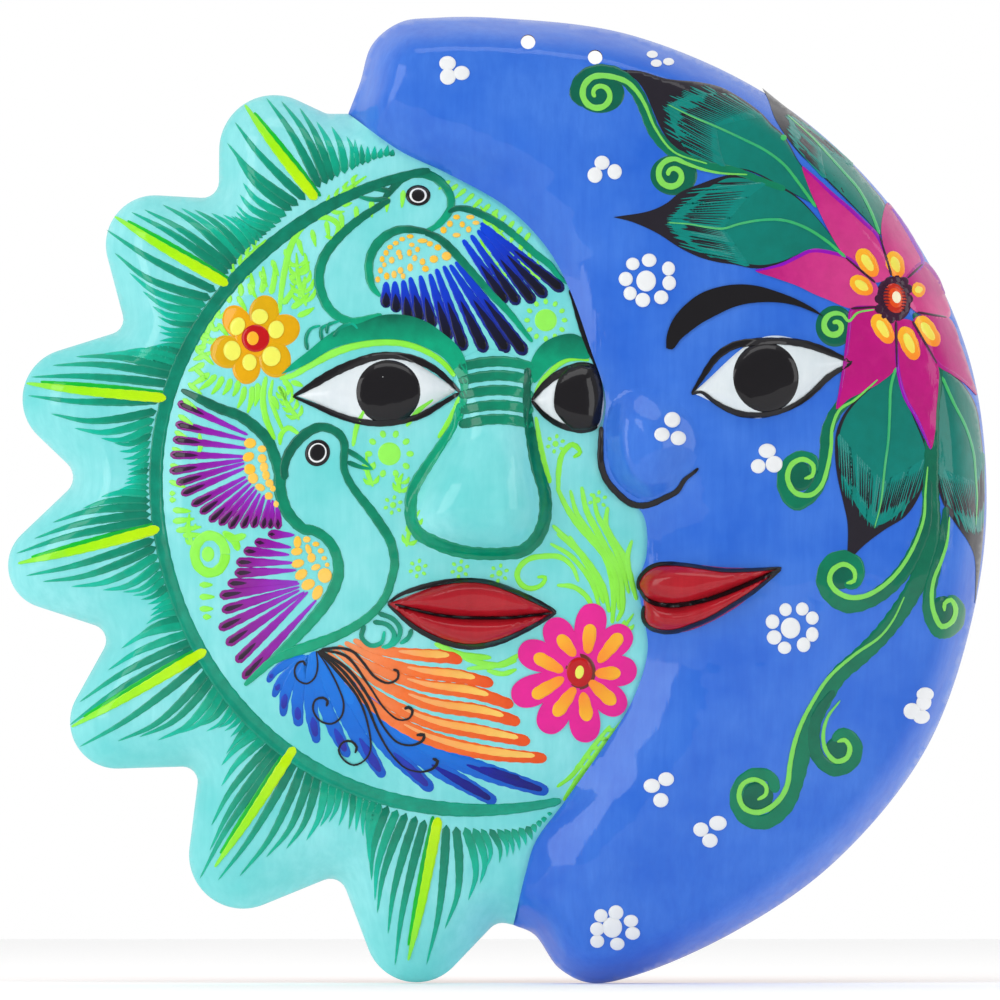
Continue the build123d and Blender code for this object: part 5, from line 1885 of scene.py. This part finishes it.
scroll(
    29.6,
    121.4,
    5.8,
    75,
    1.4,
    [(62, 100.6), (52, 104.2), (46.6, 111), (43.2, 118.7), (40.7, 122.6), (37.5, 125.4)],
)
scroll(51.6, 97.2, 5.2, 45, 1.4, [(74, 97.4), (66, 97.8), (60.4, 99)])
scroll(100.2, 52, 4.4, 20, 1.3, [(112, 57), (107, 56)])
for line in [
    [
        (113, 36), (105.9, 29.8), (101.7, 27.1), (99.4, 21.7), (99, 15.6), (97.9, 9.5), (96, 4.1),
        (92.9, 1.5), (88.3, 2.2), (86, 6.4), (87.2, 10.6), (90.6, 12.2), (93.7, 10.3), (93.3, 7.2),
        (91, 6.4),
    ],
    [
        (128, 10), (127.3, 1.9), (126.9, -5), (125, -11.2), (122, -17.3), (118.1, -22.6),
        (113.6, -26.5), (109, -28.8), (104.4, -29.1), (100.5, -27.2), (98.6, -24.2), (99.4, -21.1),
        (102.8, -19.2), (105.9, -21.1), (105.9, -24.2), (103.6, -24.9),
    ],
    [
        (134.6, -5), (133.8, -12.7), (131.9, -18.8), (130, -23.4), (129.2, -28.8), (130, -34.1),
        (132.3, -37.9), (135.4, -36.4), (136.5, -32.6), (135, -29.9), (133.1, -31), (133.1, -33.3),
    ],
    [
        (121, -29), (117.6, -36), (113.6, -41), (105.9, -46.4), (98.3, -53.2), (93.8, -60),
        (90.4, -66.4), (88.1, -72.8), (86.8, -79.1), (85.9, -85.5), (83.3, -90), (79.5, -92.8),
        (76.3, -93.5), (72.8, -91.9), (71.5, -88.1), (72.8, -84.9), (76.3, -83.6), (79.5, -85.5),
        (79.5, -88.1), (77, -89.7),
    ],
    [
        (101.8, -60), (98, -65.1), (96.7, -70.8), (97.7, -75.3), (100.6, -78.2), (103.8, -77.2),
        (104.7, -74), (103.1, -71.8), (100.9, -72.4),
    ],
]:
    vine_lime.stroke(line, [0.6, 1.2, 1.5, 1.8, 2.2, 2.2, 1.6], 0.16)

# Rose: petals, dark lines, ovals and heart

rose = coat("rose_petals", MOON, ROSE, 4)
rose_edge = coat("rose_edges", MOON, ROSE_EDGE, 5)
rose_dark = coat("rose_lines", MOON, ROSE_DARK, 7)
rose_ovals = coat("rose_ovals", MOON, PETAL_ORANGE, 6)
rose_yellow = coat("rose_ovals_yellow", MOON, PETAL_YELLOW, 8)
for outline in [
    [
        (90.5, 99.8), (94, 96.7), (99.6, 91.4), (104.6, 87.2), (108.8, 83.3), (113, 79.1),
        (117.2, 67.9), (112.3, 65.1), (103.9, 72.1), (100.4, 77), (97.5, 82.3), (94.7, 88.2),
        (92.3, 93.9),
    ],
    [
        (76.4, 68.6), (80, 69.3), (84.9, 70.7), (89.1, 72.8), (93.3, 74.6), (99.6, 73.9), (104.6, 72.1),
        (112.3, 65.1), (113.9, 57.9), (105, 57.3), (98, 60), (94, 61.6), (89.1, 64), (82.1, 66.5),
    ],
    [
        (116.3, 89.2), (120, 84), (124.2, 77), (126.7, 70.7), (122, 66.5), (117.6, 67.4), (115.8, 72.8),
        (114.2, 79.8), (114.6, 85),
    ],
    [(121, 66), (126.7, 71), (130.4, 67.6), (133.4, 61.8), (134.8, 54.8), (125, 56), (121.6, 60)],
    [
        (113.9, 57.8), (105.4, 57), (104.6, 52), (103.8, 45), (102.6, 37), (100.7, 27.2), (104.4, 30.2),
        (109.7, 32.8), (114.3, 35.5), (118.6, 39.9), (118.5, 53.5),
    ],
    [
        (118.5, 53.5), (118.7, 45), (119.2, 38.5), (121.2, 30.9), (125, 24), (128.9, 15.2), (130.2, 20),
        (130.6, 27), (131.2, 33.2), (131.1, 40.3), (123.5, 53.5),
    ],
    [
        (123.8, 54), (131, 41), (135.6, 38), (139.6, 35.1), (143, 31.5), (141.1, 37.8), (138.4, 46),
        (134.7, 54.5), (128, 55.6),
    ],
]:
    rose.patch(outline, True, towards=((119, 60.2), outline[0]), end=1.0)
    rose_edge.stroke(
        outline[: len(outline) // 2 + 1],
        [0.6, 1.2, 1.4, 1.2, 0.6],
        0.08,
        start=random.random(),
        end=random.random(),
    )
for line in [
    [(117.2, 67.2), (113.7, 79.1)], [(112.3, 65.1), (103.5, 72.5)], [(122.1, 66.5), (126.7, 70.7)],
    [(118.5, 53.5), (118.8, 39.7)], [(123.5, 53.5), (130.8, 40.9)], [(125, 56.2), (133.8, 54.8)],
    [(105.1, 57.3), (113.9, 57.9)],
]:
    rose_dark.stroke(line, [0.9, 0.8, 0.5], 0.1)
for bx, bz, tx, tz in [
    (112.6, 67, 107.4, 75), (119.8, 66.6, 117, 74.4), (111.4, 62, 105, 66.4), (117.2, 47, 112, 55.4),
    (124.6, 42, 120.4, 51.8), (131.2, 46.2, 125, 54.8), (127.4, 63.6, 123.4, 62.4),
]:
    rose_ovals.stroke([(bx, bz), (tx, tz)], [4.4, 6.0, 6.4, 5.4], 0.14)
    a, b = np.array((bx, bz)), np.array((tx, tz))
    rose_yellow.stroke(
        [tuple(a * 0.8 + b * 0.2), tuple(a * 0.2 + b * 0.8)],
        [1.8, 3.0, 3.2, 2.2],
        0.1,
        start=0.6,
        end=0.1,
    )
for turn in range(0, 360, 30):
    a = math.radians(turn)
    x, z = 117.9 + 4.4 * math.cos(a) + 1.0 * math.sin(a), 60.2 + 6.0 * math.sin(a)
    rose_dark.dot((x, z), 3.0, 3.0, rise=0.12)
rose_dark.dot((117.9, 60.2), 10.6, 13.6, 12, rise=0.15)
rose_red = coat("rose_heart", MOON, EMBER, 10)
rose_red.dot((118.2, 60.4), 7.2, 9.6, 14, rise=0.12, shade=0.3)
rose_red.dot((118.4, 60.5), 5.0, 7.0, 14, rise=0.2, shade=0.9)
rose_hair = coat("rose_heart_lines", MOON, ROSE_DARK, 13)
for number in range(9):
    z = 56.6 + number * 0.95
    rose_hair.stroke(
        [
            (113.6 + abs(number - 4) * 0.3, z),
            (115.4, z + 0.4),
            (117.0 - abs(number - 4) * 0.2, z + 0.2),
        ],
        [0.6, 0.5, 0.2],
        0.08,
    )
    rose_hair.stroke(
        [(122.2 - abs(number - 4) * 0.3, z), (121.2, z + 0.3), (120.0, z + 0.3)], [0.5, 0.4, 0.2], 0.08
    )
coat("rose_pistil", MOON, PETAL_CREAM, 14).dot((118.7, 60.7), 2.8, 3.8, 10, rise=0.25)

# White drops

drops = coat("white_drops", MOON, WHITE_PAINT, 3)
for heart, petals in [
    (
        (43.7, 65.5),
        [
            (39.7, 70.6), (44.6, 71.7), (50.4, 69.2), (50.6, 64.9), (48.2, 60.6), (42.7, 59.8),
            (38.9, 61.8), (37.6, 66.1),
        ],
    ),
    (
        (86.9, -38.3),
        [
            (85.4, -32.8), (90.4, -32.6), (93.4, -35.3), (93.4, -40.2), (90.8, -43.3), (85.1, -44.2),
            (82, -41.1), (81.5, -36.4),
        ],
    ),
    (
        (33.6, -127.9),
        [
            (34.7, -123.5), (30.2, -124.4), (29.1, -128.4), (29.1, -132.1), (35.1, -132.9),
            (39.7, -129.7), (39.2, -126),
        ],
    ),
]:
    drops.dot(heart, 6.0, 6.4, rise=0.55)
    for petal in petals:
        drops.dot(petal, random.uniform(3.8, 4.6), random.uniform(3.8, 4.6), rise=0.55)
for x, z in [
    (-15.7, 130.7), (-11.5, 127.8), (-15.6, 126.7), (30.5, 100.9), (28.4, 97.2), (34.3, 98.2),
    (51.5, 24), (48.4, 19.6), (53.3, 18.5), (79.9, 14.7), (82, 10.7), (77.2, 10.1), (123.3, -63.2),
    (126.9, -60.6), (126.2, -64.9), (127.3, -58.2), (45.4, -85.5), (49.7, -83.5), (48.1, -89.8),
    (60.1, -98.6), (65.2, -96.7), (62.8, -101.9),
]:
    drops.dot((x, z), random.uniform(4.4, 5.4), random.uniform(4.2, 5.2), rise=0.5)
for x, z in ((45.6, 133.5), (50.5, 131.3), (46.8, 130.8)):
    drops.dot((x, z), 3.4, 2.4, rise=0.4)
sun_white.dot((-34.8, 36.2), 2.6, 2.0, rise=0.12)


for made in coats.values():
    made.finish()


# Camera, light and floor


def area_light(name, position, target, size, power):
    """Softbox that faces a target."""
    data = bpy.data.lights.new(name, "AREA")
    data.shape = "RECTANGLE"
    data.size, data.size_y = size
    data.energy = power
    lamp = bpy.data.objects.new(name, data)
    bpy.context.collection.objects.link(lamp)
    lamp.location = position
    lamp.rotation_euler = (Vector(target) - Vector(position)).to_track_quat("-Z", "Y").to_euler()


area_light("left_panel", (-1.5, -1.1, 0.5), (0, 0, 0), (0.9, 1.4), 13.0)
area_light("right_panel", (1.6, -1.3, 0.4), (0, 0, 0), (0.8, 1.2), 7.5)
area_light("top_panel", (0.0, -0.7, 1.7), (0, 0, 0), (1.4, 0.7), 7.0)

world = bpy.data.worlds.new("pale_room")
world.use_nodes = True
room = world.node_tree
room.nodes["Background"].inputs["Color"].default_value = (1.0, 1.0, 1.0, 1.0)
direction = room.nodes.new("ShaderNodeSeparateXYZ")
room.links.new(room.nodes.new("ShaderNodeTexCoord").outputs["Generated"], direction.inputs["Vector"])
fall = room.nodes.new("ShaderNodeMapRange")
fall.inputs["From Min"].default_value = -0.6
fall.inputs["From Max"].default_value = 0.5
fall.inputs["To Min"].default_value = 0.38
fall.inputs["To Max"].default_value = 1.0
room.links.new(direction.outputs["Y"], fall.inputs["Value"])
room.links.new(fall.outputs["Result"], room.nodes["Background"].inputs["Strength"])
bpy.context.scene.world = world
bpy.context.scene.view_settings.view_transform = "Standard"

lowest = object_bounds()[0][2]
floor_mesh = bpy.data.meshes.new("floor")
corners = [(x, y, lowest) for x, y in ((-1.6, -1.2), (1.6, -1.2), (1.6, 1.2), (-1.6, 1.2))]
floor_mesh.from_pydata(corners, [], [(0, 1, 2, 3)])
floor = bpy.data.objects.new("floor", floor_mesh)
bpy.context.collection.objects.link(floor)
floor_look = Nodes("pale_floor")
floor_look.shader.inputs["Base Color"].default_value = (0.95, 0.95, 0.95, 1.0)
floor_look.shader.inputs["Emission Color"].default_value = (1.0, 1.0, 1.0, 1.0)
floor_look.shader.inputs["Emission Strength"].default_value = 0.12
floor_look.shader.inputs["Roughness"].default_value = 0.8
floor_mesh.materials.append(floor_look.material)

camera_data = bpy.data.cameras.new("camera")
camera_data.lens = 1440.0  # long, because the photo shows no perspective
camera_data.clip_end = 60.0
camera = bpy.data.objects.new("camera", camera_data)
bpy.context.collection.objects.link(camera)
camera.location = (0.0, -12.0, 0.0)
camera.rotation_euler = (math.pi / 2, 0.0, 0.0)
bpy.context.scene.camera = camera
